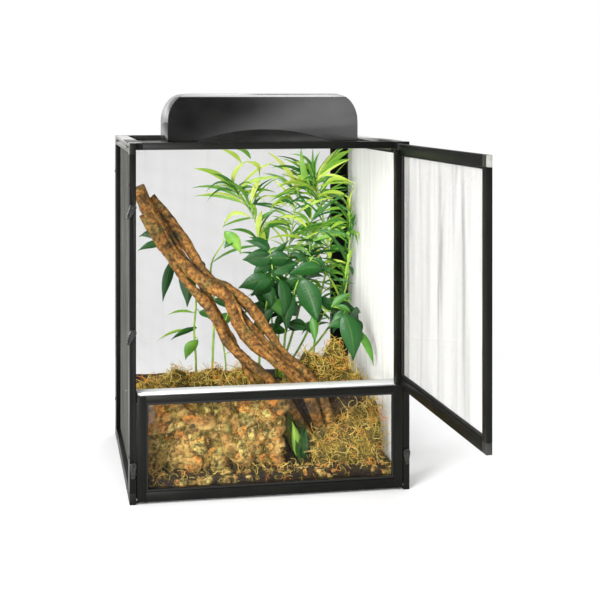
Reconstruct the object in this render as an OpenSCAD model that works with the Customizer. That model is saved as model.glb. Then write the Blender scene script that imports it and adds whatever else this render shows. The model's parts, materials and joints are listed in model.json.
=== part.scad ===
// Screened terrarium: a black profile frame with mesh walls, a large mesh door, a clear
// lower door, turn clips, a lamp hood that stands on the mesh roof, and planted furnishings.
// Origin: middle of the base underside. X to the right, Y to the back, Z up.

/* [Cage] */
// Width over the corner posts
cage_w = 406; // [360:1:600]
// Depth over the corner posts
cage_d = 406; // [380:1:600]
// Height of the frame, without the hood
cage_h = 508; // [470:1:800]
// Thickness of the floor sheet
floor_t = 3; // [2:0.5:5]

/* [Frame profiles] */
// Width of a corner post, seen from the front
post_w = 9; // [8:0.5:12]
// Depth of a corner post, seen from the side
post_d = 35; // [30:1:45]
// Width of a back post's leg along the back
back_leg_w = 28; // [20:1:40]
// Thickness of that leg
back_leg_t = 10; // [8:0.5:14]
// How far every rail reaches inwards
rail_w = 19; // [16:0.5:26]
// Height of the side and back top rails
top_rail_h = 14; // [12:0.5:20]
// Height of the front top rail
front_rail_h = 10; // [9:0.5:14]
// Height of the base rails
base_rail_h = 16; // [14:0.5:24]
// Height of a moulded corner block
block_h = 16; // [16:0.5:24]
// How far the front rails stand back behind the posts, as room for the doors
door_recess = 10; // [9.8:0.1:12]
// Height of the rail between the doors
mid_rail_h = 14; // [12:0.5:20]
// Depth of the rail between the doors
mid_rail_d = 24; // [20:1:26]
// Thickness of the bare sill strip on that rail
sill_t = 1; // [0.8:0.1:1.5]
// Gap between the sill strip and the posts, at each end
sill_end_gap = 2; // [1:0.5:4]

/* [Screens] */
// Thickness of a mesh panel
screen_t = 0.8; // [0.6:0.1:1.2]
// Spacing of the openings that stand for a panel's mesh
mesh_pitch = 45; // [42:1:60]
// Width of the bars between those openings
mesh_bar = 3; // [2:0.5:6]
// Width of the flat strip that holds a mesh panel
spline_w = 5; // [4:0.5:8]
// Thickness of that strip
spline_t = 1.2; // [1:0.1:2]
// Height of the mesh roof above the lower edge of the front top rail
roof_rise = 0.4; // [0.2:0.1:1]

/* [Main door] */
// Thickness of both doors
door_t = 8; // [7:0.25:8.5]
// Face width of the main door's stiles and rails
door_bar = 14.5; // [12:0.5:18]
// Gap between the main door and a post
door_gap = 1; // [0.8:0.1:2]
// Space between the frame's top and the main door's top edge
door_top_gap = 3; // [2:0.5:6]
// Gap between the two doors
door_split_gap = 2; // [1.5:0.5:4]
// Opening angle of the main door at rest
door_open = 90.5; // [60:0.5:110]
// How far the hinge stile's rib reaches behind the door, between the rails
hinge_rib = 5; // [2:0.5:8]
// Clearance of that rib above the sill strip and below the front top rail
hinge_rib_gap = 1.5; // [1:0.5:4]
// Distance from the main door's front to the middle of its mesh
door_mesh_in = 1.6; // [1.4:0.1:3]
// Width of the bead that holds a door's mesh or pane
bead_w = 3; // [2:0.5:5]
// Depth of that bead
bead_d = 5; // [4:0.5:6]

/* [Hinges] */
// Radius of a hinge barrel
barrel_r = 2; // [1.8:0.1:2.2]
// Radius of a hinge pin
hinge_pin_r = 1; // [0.8:0.05:1.1]
// Height of a hinge
hinge_h = 20; // [15:0.5:30]
// Thickness of a hinge leaf
leaf_t = 1.1; // [0.9:0.1:1.2]
// Distance from the barrel's axis to the front of the posts
barrel_out = 2.2; // [2.2:0.05:2.4]
// Width of the hinge leaf on the post
leaf_w = 6; // [5:0.5:6]
// Width of the hinge leaf on the door
door_leaf_w = 7; // [6:0.5:10]
// Upper hinge: its middle below the main door's top
hinge_drop = 96; // [60:1:120]
// Lower hinge: its middle above the main door's bottom
hinge_rise = 95; // [60:1:120]

/* [Lower door] */
// Height of the lower door
lower_h = 149; // [120:1:180]
// Space below the lower door
lower_gap_z = 3; // [2.8:0.1:5]
// Gap between the lower door and a post
lower_gap = 1.5; // [1:0.1:3]
// Face width of the lower door's stiles
lower_stile = 12.5; // [11:0.5:16]
// Face height of the lower door's top rail
lower_top = 10; // [8:0.5:14]
// Face height of the lower door's bottom rail
lower_bottom = 14; // [12:0.5:18]
// Thickness of the clear pane
pane_t = 3; // [2:0.5:4]
// Radius of the lower door's pivot pins
pivot_r = 1.5; // [1.2:0.05:1.6]
// Height of those pins above the door's bottom edge
pivot_rise = 4; // [3.5:0.1:4.2]
// Distance of those pins behind the door's front
pivot_in = 2.5; // [2.4:0.1:3]

/* [Turn clips] */
// Radius of a clip's round end
clip_r = 5; // [4.2:0.1:5.2]
// Radius of a clip's tip
clip_tip_r = 3; // [2.4:0.1:3.6]
// Distance between those two centres
clip_reach = 15; // [12:0.5:22]
// Thickness of a clip
clip_t = 2.6; // [2:0.1:3.5]
// Clearance between a clip and the front of the frame
clip_gap = 0.4; // [0.3:0.05:0.5]
// Angle at which the main door's clips hang away from the door
clip_hang = 25; // [0:1:40]
// Upper clip: its screw below the main door's top
clip_drop = 87; // [50:1:120]
// Lower clip: its screw above the main door's bottom
clip_rise = 88; // [50:1:120]
// Height of the lower door's clip screws above the base
lower_clip_z = 55; // [40:1:100]

/* [Screws] */
// Radius of a frame screw's head
head_r = 2.6; // [2:0.1:3.4]
// Height of a screw head
head_h = 1.5; // [1:0.1:2]
// Radius of a screw's shank
shank_r = 1.4; // [1:0.1:1.6]
// Length of a frame screw's shank
shank_l = 6; // [4:0.5:8]
// Rail screws: distance from the ends of the cage
rail_screw_in = 60; // [50:1:100]
// Post screws: distance below the frame's top
post_screw_top = 60; // [40:1:100]
// Post screws: distance above the base
post_screw_low = 63; // [40:1:100]
// Radius of a hinge screw's shank
hinge_screw_r = 0.8; // [0.6:0.1:1]

/* [Hood] */
// Width of the hood
hood_w = 286; // [240:1:320]
// Depth of the hood
hood_d = 122; // [110:1:180]
// Height of the hood's shell
hood_h = 76; // [70:1:110]
// Distance from the hood's front to the front of the posts
hood_set = 75; // [45:1:100]
// Wall thickness of the hood
hood_wall = 2; // [1.5:0.25:3]
// Width of a rounded top corner
hood_corner_w = 33; // [20:1:40]
// Height of a rounded top corner
hood_corner_h = 42; // [25:1:45]
// Depth of the bevel along the top edges
bevel_d = 8; // [4:0.5:12]
// Height of that bevel
bevel_h = 5; // [3:0.5:8]
// Width of the flange inside the hood's lower edge
flange_w = 12; // [10:0.5:18]
// Height of a rubber foot
foot_h = 2.5; // [2:0.25:4]
// Radius of a rubber foot
foot_r = 4.5; // [3:0.25:4.8]
// Clearance under the hood's feet
seat_gap = 0.3; // [0.2:0.05:0.4]
// Width of the blank arched plate on the hood's front, at its foot
plate_w = 218; // [120:1:230]
// Height of that plate
plate_h = 21; // [12:1:30]
// Thickness of that plate
plate_t = 1.2; // [0.8:0.1:2]

/* [Lamps] */
// Outer radius of a lamp socket
socket_r = 17; // [16:0.5:20]
// Length of a lamp socket
socket_l = 30; // [26:1:36]
// Radius of a lamp's screw cap
cap_r = 13; // [12:0.1:13.5]
// Length of that cap
cap_l = 24; // [20:0.5:25]
// Radius of a lamp's body
lamp_r = 21; // [18:0.5:23]
// Length of a lamp without its cap
lamp_l = 84; // [70:1:90]
// Length of the bracket that stands a socket off the hood's wall
bracket_l = 4; // [3:0.5:8]
// Height of the lamp axis above the hood's lower edge
lamp_z = 32; // [28:1:36]
// Thickness of the reflector sheet
reflector_t = 0.8; // [0.6:0.1:1.2]
// Height of the reflector's lower edges above the hood's lower edge
reflector_z = 28; // [20:1:36]

/* [Gland and switch] */
// Radius of the cable hole in the gland
cable_r = 3.6; // [3:0.1:4]
// Outer radius of the gland's body
gland_r = 6; // [5.5:0.1:7]
// Distance of the gland from the hood's right end
gland_end = 38; // [36:1:55]
// Width of the rocker switch
switch_w = 15; // [12:0.5:18]
// Height of the rocker switch
switch_h = 10; // [8:0.5:12]
// Distance between the gland and the switch
switch_gap = 40; // [30:1:50]
// Tilt of the rocker at rest
switch_tilt = 6; // [4:0.5:8]
// Height of gland and switch above the hood's lower edge
fitting_z = 20; // [16:0.5:20.5]

/* [Furnishings] */
// Depth of the soil at the front
soil_h = 25; // [15:1:40]
// Height of the raised bed behind it, above the floor sheet
bed_h = 102; // [80:1:115]
// Distance from the front of the posts to the raised bed
bed_set = 149; // [140:1:160]
// Depth of the upper moss banks, from the front of the bed
moss_d = 78; // [60:1:84]
// Depth of the lane behind them, in which the climber's stems rise
climber_lane = 36; // [24:1:44]
// Distance from that lane to the palm's root
palm_set = 50; // [30:1:70]
// Distance by which a frond's tip leans to the front or the back
frond_lean = 10; // [0:1:20]
// Depth of the lane between bark and bed, in which the vines run
vine_lane = 42; // [40:1:44]
// Distance from the front of the posts to the cork bark
bark_set = 53; // [48:1:60]
// Height of the cork bark's top above the base
bark_top = 129; // [110:1:135]
// Width of the cork bark
bark_w = 206; // [150:1:215]
// Radius of a vine strand
vine_r = 7.5; // [6:0.25:8]
// Radius at which the strands twist round each other
twist_r = 8; // [6:0.25:8.5]
// Turns of the twist
twist_n = 1.8; // [1:0.1:3]
// Length of a palm leaflet
leaflet_l = 62; // [40:1:70]
// Length of a broad leaf
leaf_l = 46; // [30:1:55]
// Width of the low plant beside the bark
low_plant_w = 32; // [20:1:36]
// Gap between the bark and the low plant
low_plant_gap = 17; // [2:1:20]
// Height of the low plant
low_plant_h = 60; // [40:1:90]
// Height of the tallest moss bank above the raised bed
moss_h = 80; // [60:1:84]
// Radius of a plant stem
stem_r = 1.6; // [1.2:0.1:2.4]
// Width of a palm leaflet
leaflet_w = 9; // [6:0.5:12]

/* [Hidden] */
$fn = 48;
fit_slack = 0.05;      // radial clearance of a pin or screw in its hole
back_slack = 0.7;      // least distance from a turning corner to the rail behind it
half_w = cage_w / 2;
half_d = cage_d / 2;
in_x = half_w - post_w;            // inner face of the posts
rail_x = half_w - rail_w;          // inner face of the side rails
post_in_y = half_d - post_d;       // inner end of the posts' side faces
leg_x = half_w - back_leg_w;       // inner end of the back posts' legs
front_y = -half_d + door_recess;   // front face of the front rails
front_in_y = front_y + rail_w;   // inner face of the front rails
back_in_y = half_d - rail_w;
roof_z = cage_h - front_rail_h + roof_rise;

// main door, drawn closed and turned open about the hinge barrels
door_x = in_x - door_gap;
door_z1 = cage_h - door_top_gap;
lower_z1 = lower_gap_z + lower_h;
door_z0 = lower_z1 + door_split_gap;
door_y = -half_d;
barrel_x = in_x - door_gap / 2;
barrel_y = -half_d - barrel_out;
hinge_z = [door_z0 + hinge_rise, door_z1 - hinge_drop];
sill_z = lower_z1 + door_split_gap + sill_t;
mid_z1 = sill_z - sill_t;

// lower door and its pivots
lower_x = in_x - lower_gap;
pivot_y = -half_d + pivot_in;
pivot_z = lower_gap_z + pivot_rise;
pin_grip = 6;

// turn clips
post_mid_x = half_w - post_w / 2;
clip_y = -half_d - clip_gap;
main_clip_z = [door_z0 + clip_rise, door_z1 - clip_drop];
clip_bore_r = shank_r + 0.1;
side_screw_z = [post_screw_low, cage_h - post_screw_top];

// hood
hood_y0 = -half_d + hood_set;
hood_y1 = hood_y0 + hood_d;
roof_top = roof_z + screen_t;
hood_z = roof_top + seat_gap + foot_h;
hood_top = hood_z + hood_h;
flange_t = 2;
tab_w = 14;
tab_d = 16;
corner_steps = 12;
hood_mid_y = (hood_y0 + hood_y1) / 2;
bezel_wall = 1.6;
bezel_depth = 10;
switch_z = hood_z + fitting_z;
gland_z = hood_z + fitting_z;
gland_in = 8;
gland_out = 4;
gland_x = hood_w / 2 - gland_end;
switch_x = gland_x - switch_gap;

// furnishings
soil_z = floor_t + soil_h;
bed_z = floor_t + bed_h;
bed_y = -half_d + bed_set;
bark_y0 = -half_d + bark_set;
bark_y1 = bed_y - vine_lane;
bark_x0 = -rail_x + 4;
low_half = low_plant_w / 2;
low_x = bark_x0 + bark_w + low_plant_gap + low_half;   // middle of the low plant
vine_y = bed_y - vine_lane / 2;
moss_y1 = bed_y + moss_d;
lane_y1 = moss_y1 + climber_lane;
palm_y = lane_y1 + palm_set;
plant_x = in_x - 8;
skip = 0.5;            // clearance that keeps the furnishings apart

// ---- helpers ----

// A box between two corners
module span(a, b) {
  translate(a) cube([b[0] - a[0], b[1] - a[1], b[2] - a[2]]);
}

// The same children on the left and on the right
module both_sides() {
  children();
  mirror([1, 0, 0]) children();
}

// A flat ring of four bars in the XZ plane, outer size w by h, bar width b, thickness t in Y
module ring_xz(x0, x1, z0, z1, y0, y1, b) {
  difference() {
    span([x0, y0, z0], [x1, y1, z1]);
    span([x0 + b, y0 - 1, z0 + b], [x1 - b, y1 + 1, z1 - b]);
  }
}

// Turns what is drawn for a closed main door to its rest position
module opened() {
  translate([barrel_x, barrel_y, 0]) rotate([0, 0, door_open])
    translate([-barrel_x, -barrel_y, 0]) children();
}

// A pan-head screw: shank along +Z from the seat at z = 0, domed head below it
module pan_screw(hr, hh, sr, sl) {
  cylinder(r = sr, h = sl);
  rotate_extrude()
    polygon(concat([[0, 0], [hr, 0]],
      [for (i = [0:6]) [hr * cos(i * 15), -hh * (0.35 + 0.65 * sin(i * 15))]]));
}

// ---- frame ----

module post() {
  span([-half_w, -half_d, block_h], [-in_x, -half_d + post_d, cage_h - block_h]);
}

module side_screw_holes() {
  for (z = side_screw_z, y = [-1, 1])
    translate([-half_w - 1, y * (half_d - post_d / 2), z]) rotate([0, 90, 0])
      cylinder(r = shank_r + fit_slack, h = shank_l + 1 + fit_slack);
}

module clip_hole(x, z) {
  translate([x, -half_d - 1, z]) rotate([-90, 0, 0])
    cylinder(r = shank_r + fit_slack, h = shank_l + 1 + fit_slack);
}

module hinge_screw_places() {
  for (z = hinge_z, s = [-1, 1])
    translate([half_w - post_w / 2 + 0.5, -half_d, z + s * hinge_h * 0.3]) children();
}

module post_front_left() {
  color("#1b1b1a") difference() {
    post();
    side_screw_holes();
    for (z = main_clip_z) clip_hole(-post_mid_x, z);
    clip_hole(-post_mid_x, lower_clip_z);
  }
}

module post_front_right() {
  color("#1b1b1a") difference() {
    mirror([1, 0, 0]) difference() { post(); side_screw_holes(); }
    clip_hole(post_mid_x, lower_clip_z);
    hinge_screw_places() rotate([-90, 0, 0]) translate([0, 0, -1])
      cylinder(r = hinge_screw_r + fit_slack, h = 6 + fit_slack);
  }
}

// Back posts: an angle, with one leg along the side and one along the back
module posts_back() {
  color("#1b1b1a") both_sides() difference() {
    union() {
      mirror([0, 1, 0]) post();
      back_leg(block_h, cage_h - block_h);
    }
    side_screw_holes();
  }
}

module back_leg(z0, z1) {
  span([-half_w, half_d - back_leg_t, z0], [-leg_x, half_d, z1]);
}

module top_rail_front() {
  color("#1d1d1c")
    span([-rail_x, front_y, cage_h - front_rail_h], [rail_x, front_in_y, cage_h]);
}

module top_rail_back() {
  color("#1d1d1c") span([-leg_x, back_in_y, cage_h - top_rail_h], [leg_x, half_d, cage_h]);
}

module rail_screw_holes(z) {
  for (y = [-1, 1])
    translate([-half_w - 1, y * (half_d - rail_screw_in), z]) rotate([0, 90, 0])
      cylinder(r = shank_r + fit_slack, h = shank_l + 1 + fit_slack);
}

module top_rails_side() {
  color("#1d1d1c") both_sides() difference() {
    span([-half_w, -post_in_y, cage_h - top_rail_h], [-rail_x, post_in_y, cage_h]);
    rail_screw_holes(cage_h - top_rail_h / 2);
  }
}

// The front and the back base rail
module base_rails_across() {
  color("#1d1d1c") {
    span([-rail_x, front_y, 0], [rail_x, front_in_y, base_rail_h]);
    span([-leg_x, back_in_y, 0], [leg_x, half_d, base_rail_h]);
  }
}

module base_rails_side() {
  color("#1d1d1c") both_sides() difference() {
    span([-half_w, -post_in_y, 0], [-rail_x, post_in_y, base_rail_h]);
    rail_screw_holes(base_rail_h / 2);
  }
}

module mid_rail() {
  color("#1d1d1c")
    span([-in_x, front_y, mid_z1 - mid_rail_h], [in_x, front_y + mid_rail_d, mid_z1]);
}

module sill_strip() {
  color("#e8e9ea") {
    span([-in_x + sill_end_gap, front_y - sill_t, mid_z1],
         [in_x - sill_end_gap, front_y + mid_rail_d, mid_z1 + sill_t]);
    span([-in_x + sill_end_gap, front_y - sill_t, mid_z1 - mid_rail_h * 0.6],
         [in_x - sill_end_gap, front_y, mid_z1 + sill_t]);
  }
}

module floor_sheet() {
  color("#2a2a28") span([-rail_x, front_in_y, 0], [rail_x, back_in_y, floor_t]);
}

module front_block(z0, z1, inner_z0) {
  span([-half_w, -half_d, z0], [-in_x, -post_in_y, z1]);
  span([-half_w, front_y, inner_z0], [-rail_x, -post_in_y, z1]);
}

module back_block(z0, z1, inner_z0) {
  span([-half_w, post_in_y, z0], [-in_x, half_d, z1]);
  span([-half_w, post_in_y, inner_z0], [-rail_x, half_d, z1]);
  span([-half_w, back_in_y, inner_z0], [-leg_x, half_d, z1]);
  back_leg(z0, z1);
}

module corner_blocks_top() {
  color("#151515") both_sides() {
    front_block(cage_h - block_h, cage_h, cage_h - front_rail_h);
    back_block(cage_h - block_h, cage_h, cage_h - top_rail_h);
  }
}

module corner_blocks_bottom() {
  color("#151515") both_sides() {
    difference() {
      front_block(0, block_h, 0);
      translate([-in_x - pin_grip - fit_slack, pivot_y, pivot_z]) rotate([0, 90, 0])
        cylinder(r = pivot_r + fit_slack, h = pin_grip + 1);
    }
    back_block(0, block_h, 0);
  }
}

// ---- screens ----

// A mesh panel in the XY plane: a sheet with a solid border and a plain grid of openings
module mesh_panel(w, h, border) {
  n = [round((w - 2 * border) / mesh_pitch), round((h - 2 * border) / mesh_pitch)];
  step = [(w - 2 * border + mesh_bar) / n[0], (h - 2 * border + mesh_bar) / n[1]];
  difference() {
    cube([w, h, screen_t]);
    for (i = [0:n[0] - 1], j = [0:n[1] - 1])
      translate([border + i * step[0], border + j * step[1], -1])
        cube([step[0] - mesh_bar, step[1] - mesh_bar, screen_t + 2]);
  }
}

// The same panel, standing on its edge along the Y axis
module side_panel() {
  rotate([90, 0, 90])
    mesh_panel(2 * post_in_y, cage_h - top_rail_h - base_rail_h, spline_w);
}

side_x0 = in_x + spline_t;          // outer face of the side splines
module screen_left() {
  color([0.55, 0.55, 0.53, 0.55])
    translate([-side_x0 - screen_t, -post_in_y, base_rail_h]) side_panel();
}

module screen_right() {
  color([0.55, 0.55, 0.53, 0.55])
    translate([side_x0, -post_in_y, base_rail_h]) side_panel();
}

back_screen_y = back_in_y + rail_w / 2;
module screen_back() {
  color([0.55, 0.55, 0.53, 0.55])
    translate([-leg_x, back_screen_y + screen_t, base_rail_h]) rotate([90, 0, 0])
      mesh_panel(2 * leg_x, cage_h - top_rail_h - base_rail_h, spline_w);
}

module screen_roof() {
  color([0.35, 0.35, 0.34, 0.6])
    translate([-rail_x, front_in_y, roof_z])
      mesh_panel(2 * rail_x, back_in_y - front_in_y, spline_w);
}

// Flat strips round the edge of each mesh panel: two sides, back and roof
module screen_splines() {
  color("#161616") {
    both_sides() difference() {
      span([-side_x0, -post_in_y, base_rail_h], [-in_x, post_in_y, cage_h - top_rail_h]);
      span([-side_x0 - 1, -post_in_y + spline_w, base_rail_h + spline_w],
           [-in_x + 1, post_in_y - spline_w, cage_h - top_rail_h - spline_w]);
    }
    ring_xz(-leg_x, leg_x, base_rail_h, cage_h - top_rail_h,
            back_screen_y - spline_t, back_screen_y, spline_w);
    difference() {
      span([-rail_x, front_in_y, roof_top], [rail_x, back_in_y, roof_top + spline_t]);
      span([-rail_x + spline_w, front_in_y + spline_w, roof_top - 1],
           [rail_x - spline_w, back_in_y - spline_w, roof_top + spline_t + 1]);
    }
  }
}

// ---- frame fasteners and hinges ----

module frame_screws() {
  color("#8a8a86") both_sides() {
    for (z = side_screw_z, y = [-1, 1])
      translate([-half_w, y * (half_d - post_d / 2), z]) rotate([0, 90, 0])
        pan_screw(head_r, head_h, shank_r, shank_l);
    for (z = [base_rail_h / 2, cage_h - top_rail_h / 2], y = [-1, 1])
      translate([-half_w, y * (half_d - rail_screw_in), z]) rotate([0, 90, 0])
        pan_screw(head_r, head_h, shank_r, shank_l);
  }
}

knuckle_gap = 0.3;
knuckle_h = (hinge_h - 2 * knuckle_gap) / 3;

module knuckle(z0, bore) {
  difference() {
    children();
    translate([barrel_x, barrel_y, z0 - 1]) cylinder(r = bore, h = hinge_h + 2);
  }
}

module hinge_brackets() {
  color("#2b2b29") for (z = hinge_z) {
    difference() {
      union() {
        span([barrel_x + barrel_r + 0.5, -half_d - leaf_t, z - hinge_h / 2],
             [barrel_x + barrel_r + 0.5 + leaf_w, -half_d, z + hinge_h / 2]);
        for (k = [0, 2]) translate([0, 0, z - hinge_h / 2 + k * (knuckle_h + knuckle_gap)]) {
          translate([barrel_x, barrel_y, 0]) cylinder(r = barrel_r, h = knuckle_h);
          span([barrel_x, -half_d - leaf_t, 0],
               [barrel_x + barrel_r + 1, -half_d - 0.1, knuckle_h]);
        }
      }
      translate([barrel_x, barrel_y, z - hinge_h]) cylinder(r = hinge_pin_r + 0.02, h = 2 * hinge_h);
      for (s = [-1, 1])
        translate([half_w - post_w / 2 + 0.5, -half_d - leaf_t - 1, z + s * hinge_h * 0.3])
          rotate([-90, 0, 0]) cylinder(r = hinge_screw_r + fit_slack, h = leaf_t + 2);
    }
  }
}

module hinge_pins() {
  color("#b9b9b5") for (z = hinge_z)
    translate([barrel_x, barrel_y, z - hinge_h / 2]) cylinder(r = hinge_pin_r, h = hinge_h);
}

// Clip screws and the small screws that hold the hinge leaves to the right post
module front_screws() {
  color("#9a9a96") {
    for (z = concat(main_clip_z, [lower_clip_z])) clip_screw(-post_mid_x, z);
    clip_screw(post_mid_x, lower_clip_z);
    hinge_screw_places() translate([0, -leaf_t, 0]) rotate([-90, 0, 0])
      pan_screw(hinge_screw_r * 1.9, 0.6, hinge_screw_r, leaf_t + 4.5);
  }
}

module clip_screw(x, z) {
  translate([x, clip_y - clip_t - 0.2, z]) rotate([-90, 0, 0])
    pan_screw(head_r, head_h, shank_r, clip_t + 0.2 + clip_gap + shank_l);
}

// ---- main door ----

module door_hinge_stile() {
  color("#1a1a19") opened() {
    door_stile(door_x - door_bar, door_x);
    span([door_x - door_bar, door_y + door_t, mid_z1 + sill_t + hinge_rib_gap],
         [door_x, door_y + door_t + hinge_rib, cage_h - front_rail_h - hinge_rib_gap]);
  }
}

module door_latch_stile() {
  color("#1a1a19") opened() door_stile(-door_x, -door_x + door_bar);
}

module leaf_screw_places() {
  for (z = hinge_z, s = [-1, 1])
    translate([barrel_x - barrel_r - 0.5 - door_leaf_w / 2, -half_d, z + s * hinge_h * 0.3])
      children();
}

module door_stile(x0, x1) {
  difference() {
    span([x0, door_y, door_z0 + door_bar], [x1, door_y + door_t, door_z1 - door_bar]);
    if (x1 > 0) leaf_screw_places() rotate([-90, 0, 0]) translate([0, 0, -1])
      cylinder(r = hinge_screw_r + fit_slack, h = 6 + fit_slack);
  }
}

module door_rail(z0) {
  span([-door_x + door_bar, door_y, z0], [door_x - door_bar, door_y + door_t, z0 + door_bar]);
}

module door_top_rail() {
  color("#1a1a19") opened() door_rail(door_z1 - door_bar);
}

module door_bottom_rail() {
  color("#1a1a19") opened() door_rail(door_z0);
}

module door_corner_caps() {
  color("#33332f") opened()
    for (x = [-door_x, door_x - door_bar], z = [door_z0, door_z1 - door_bar])
      span([x, door_y, z], [x + door_bar, door_y + door_t, z + door_bar]);
}

door_mid_y = door_y + door_t / 2;
door_mesh_y = door_y + door_mesh_in;

module door_screen() {
  i = door_bar + bead_w;
  color([0.75, 0.75, 0.73, 0.6]) opened()
    translate([-door_x + i, door_mesh_y + screen_t / 2, door_z0 + i]) rotate([90, 0, 0])
      mesh_panel(2 * (door_x - i), door_z1 - door_z0 - 2 * i, mesh_bar);
}

module door_spline() {
  color("#101010") opened()
    ring_xz(-door_x + door_bar, door_x - door_bar, door_z0 + door_bar, door_z1 - door_bar,
            door_mesh_y - bead_d * 0.2, door_mesh_y + bead_d * 0.8, bead_w);
}

module door_hinge_leaves() {
  color("#2b2b29") opened() for (z = hinge_z) {
    difference() {
      union() {
        span([barrel_x - barrel_r - 0.5 - door_leaf_w, -half_d - leaf_t, z - hinge_h / 2],
             [barrel_x - barrel_r - 0.5, -half_d, z + hinge_h / 2]);
        translate([0, 0, z - knuckle_h / 2]) {
          translate([barrel_x, barrel_y, 0]) cylinder(r = barrel_r, h = knuckle_h);
          span([barrel_x - barrel_r - 1, -half_d - leaf_t, 0],
               [barrel_x, -half_d - 0.1, knuckle_h]);
        }
      }
      translate([barrel_x, barrel_y, z - hinge_h])
        cylinder(r = hinge_pin_r + fit_slack, h = 2 * hinge_h);
      for (s = [-1, 1])
        translate([barrel_x - barrel_r - 0.5 - door_leaf_w / 2, -half_d - leaf_t - 1,
                   z + s * hinge_h * 0.3])
          rotate([-90, 0, 0]) cylinder(r = hinge_screw_r + fit_slack, h = leaf_t + 2);
    }
  }
}

module door_leaf_screws() {
  color("#9a9a96") opened() leaf_screw_places() translate([0, -leaf_t, 0]) rotate([-90, 0, 0])
    pan_screw(hinge_screw_r * 1.9, 0.6, hinge_screw_r, leaf_t + 4.5);
}

// ---- lower door ----

module lower_stiles() {
  color("#1a1a19") both_sides() difference() {
    span([-lower_x, door_y, lower_gap_z], [-lower_x + lower_stile, door_y + door_t, lower_z1]);
    translate([-lower_x - 1, pivot_y, pivot_z]) rotate([0, 90, 0])
      cylinder(r = pivot_r + 0.02, h = pin_grip + 3);
  }
}

module lower_rail(z0, z1) {
  span([-lower_x + lower_stile, door_y, z0], [lower_x - lower_stile, door_y + door_t, z1]);
}

module lower_top_rail() {
  color("#1a1a19") lower_rail(lower_z1 - lower_top, lower_z1);
}

module lower_bottom_rail() {
  color("#1a1a19") lower_rail(lower_gap_z, lower_gap_z + lower_bottom);
}

module lower_pane() {
  i = lower_stile + bead_w;
  color([0.85, 0.92, 0.9, 0.25])
    span([-lower_x + i, door_mid_y - pane_t / 2, lower_gap_z + lower_bottom + bead_w],
         [lower_x - i, door_mid_y + pane_t / 2, lower_z1 - lower_top - bead_w]);
}

module lower_bead() {
  color("#101010")
    ring_xz(-lower_x + lower_stile, lower_x - lower_stile, lower_gap_z + lower_bottom,
            lower_z1 - lower_top, door_mid_y - bead_d / 2, door_mid_y + bead_d / 2, bead_w);
}

module lower_pivot_pins() {
  color("#9a9a96") both_sides()
    translate([-in_x - pin_grip + 0.2, pivot_y, pivot_z]) rotate([0, 90, 0])
      cylinder(r = pivot_r, h = 2 * pin_grip + lower_gap);
}

// ---- turn clips ----

// A teardrop plate with a bored round end and a raised thumb rib, pointing along +X
module clip_shape() {
  a = acos((clip_r - clip_tip_r) / clip_reach);
  difference() {
    union() {
      linear_extrude(clip_t) {
        circle(r = clip_r);
        translate([clip_reach, 0]) circle(r = clip_tip_r);
        polygon([[clip_r * cos(a), clip_r * sin(a)],
                 [clip_reach + clip_tip_r * cos(a), clip_tip_r * sin(a)],
                 [clip_reach + clip_tip_r * cos(a), -clip_tip_r * sin(a)],
                 [clip_r * cos(a), -clip_r * sin(a)]]);
      }
      translate([clip_reach - clip_tip_r / 2, -clip_tip_r * 0.8, clip_t])
        cube([clip_tip_r, clip_tip_r * 1.6, clip_t * 0.5]);
    }
    translate([0, 0, -1]) cylinder(r = clip_bore_r, h = clip_t + 2);
  }
}

module clip_at(x, z, angle) {
  color("#111111") translate([x, clip_y, z]) rotate([90, 0, 0]) rotate([0, 0, angle]) clip_shape();
}

module main_clip_upper() { clip_at(-post_mid_x, main_clip_z[1], -90 - clip_hang); }
module main_clip_lower() { clip_at(-post_mid_x, main_clip_z[0], -90 - clip_hang); }
module lower_clip_left() { clip_at(-post_mid_x, lower_clip_z, -90); }
module lower_clip_right() { clip_at(post_mid_x, lower_clip_z, -90); }

// ---- hood ----

// Front outline of the hood, drawn in by t all round the top and sides
module hood_outline(t) {
  w = hood_w / 2 - t;
  h = hood_h - t;
  rx = hood_corner_w - t;
  rz = hood_corner_h - t;
  arc = [for (i = [0:corner_steps]) let (a = 90 * i / corner_steps)
    [w - rx + rx * cos(a), h - rz + rz * sin(a)]];
  polygon(concat([[-w, 0], [w, 0]], arc,
    [for (i = [corner_steps:-1:0]) [-arc[i][0], arc[i][1]]]));
}

// Side outline of the hood in the YZ plane, with the bevels along its top
module hood_profile(t) {
  polygon([[hood_y0 + t, 0], [hood_y1 - t, 0], [hood_y1 - t, hood_h - bevel_h - t * 0.4],
           [hood_y1 - bevel_d - t * 0.4, hood_h - t], [hood_y0 + bevel_d + t * 0.4, hood_h - t],
           [hood_y0 + t, hood_h - bevel_h - t * 0.4]]);
}

module hood_form(t) {
  translate([0, 0, hood_z]) intersection() {
    translate([0, hood_y1 + 1, 0]) rotate([90, 0, 0]) linear_extrude(hood_d + 2) hood_outline(t);
    translate([-hood_w, 0, 0]) rotate([90, 0, 90]) linear_extrude(2 * hood_w) hood_profile(t);
  }
}

// The whole sheet shell, with a flange turned in along its foot
module hood_sheet() {
  difference() {
    hood_form(0);
    difference() {
      hood_form(hood_wall);
      span([-hood_w, hood_y0 - 1, hood_z - 1], [hood_w, hood_y1 + 1, hood_z + flange_t]);
    }
    span([-hood_w / 2 + flange_w, hood_y0 + flange_w, hood_z - 1],
         [hood_w / 2 - flange_w, hood_y1 - flange_w, hood_z + flange_t + 1]);
  }
}

hood_x = hood_w / 2 - hood_corner_w;      // where a rounded end begins

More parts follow.
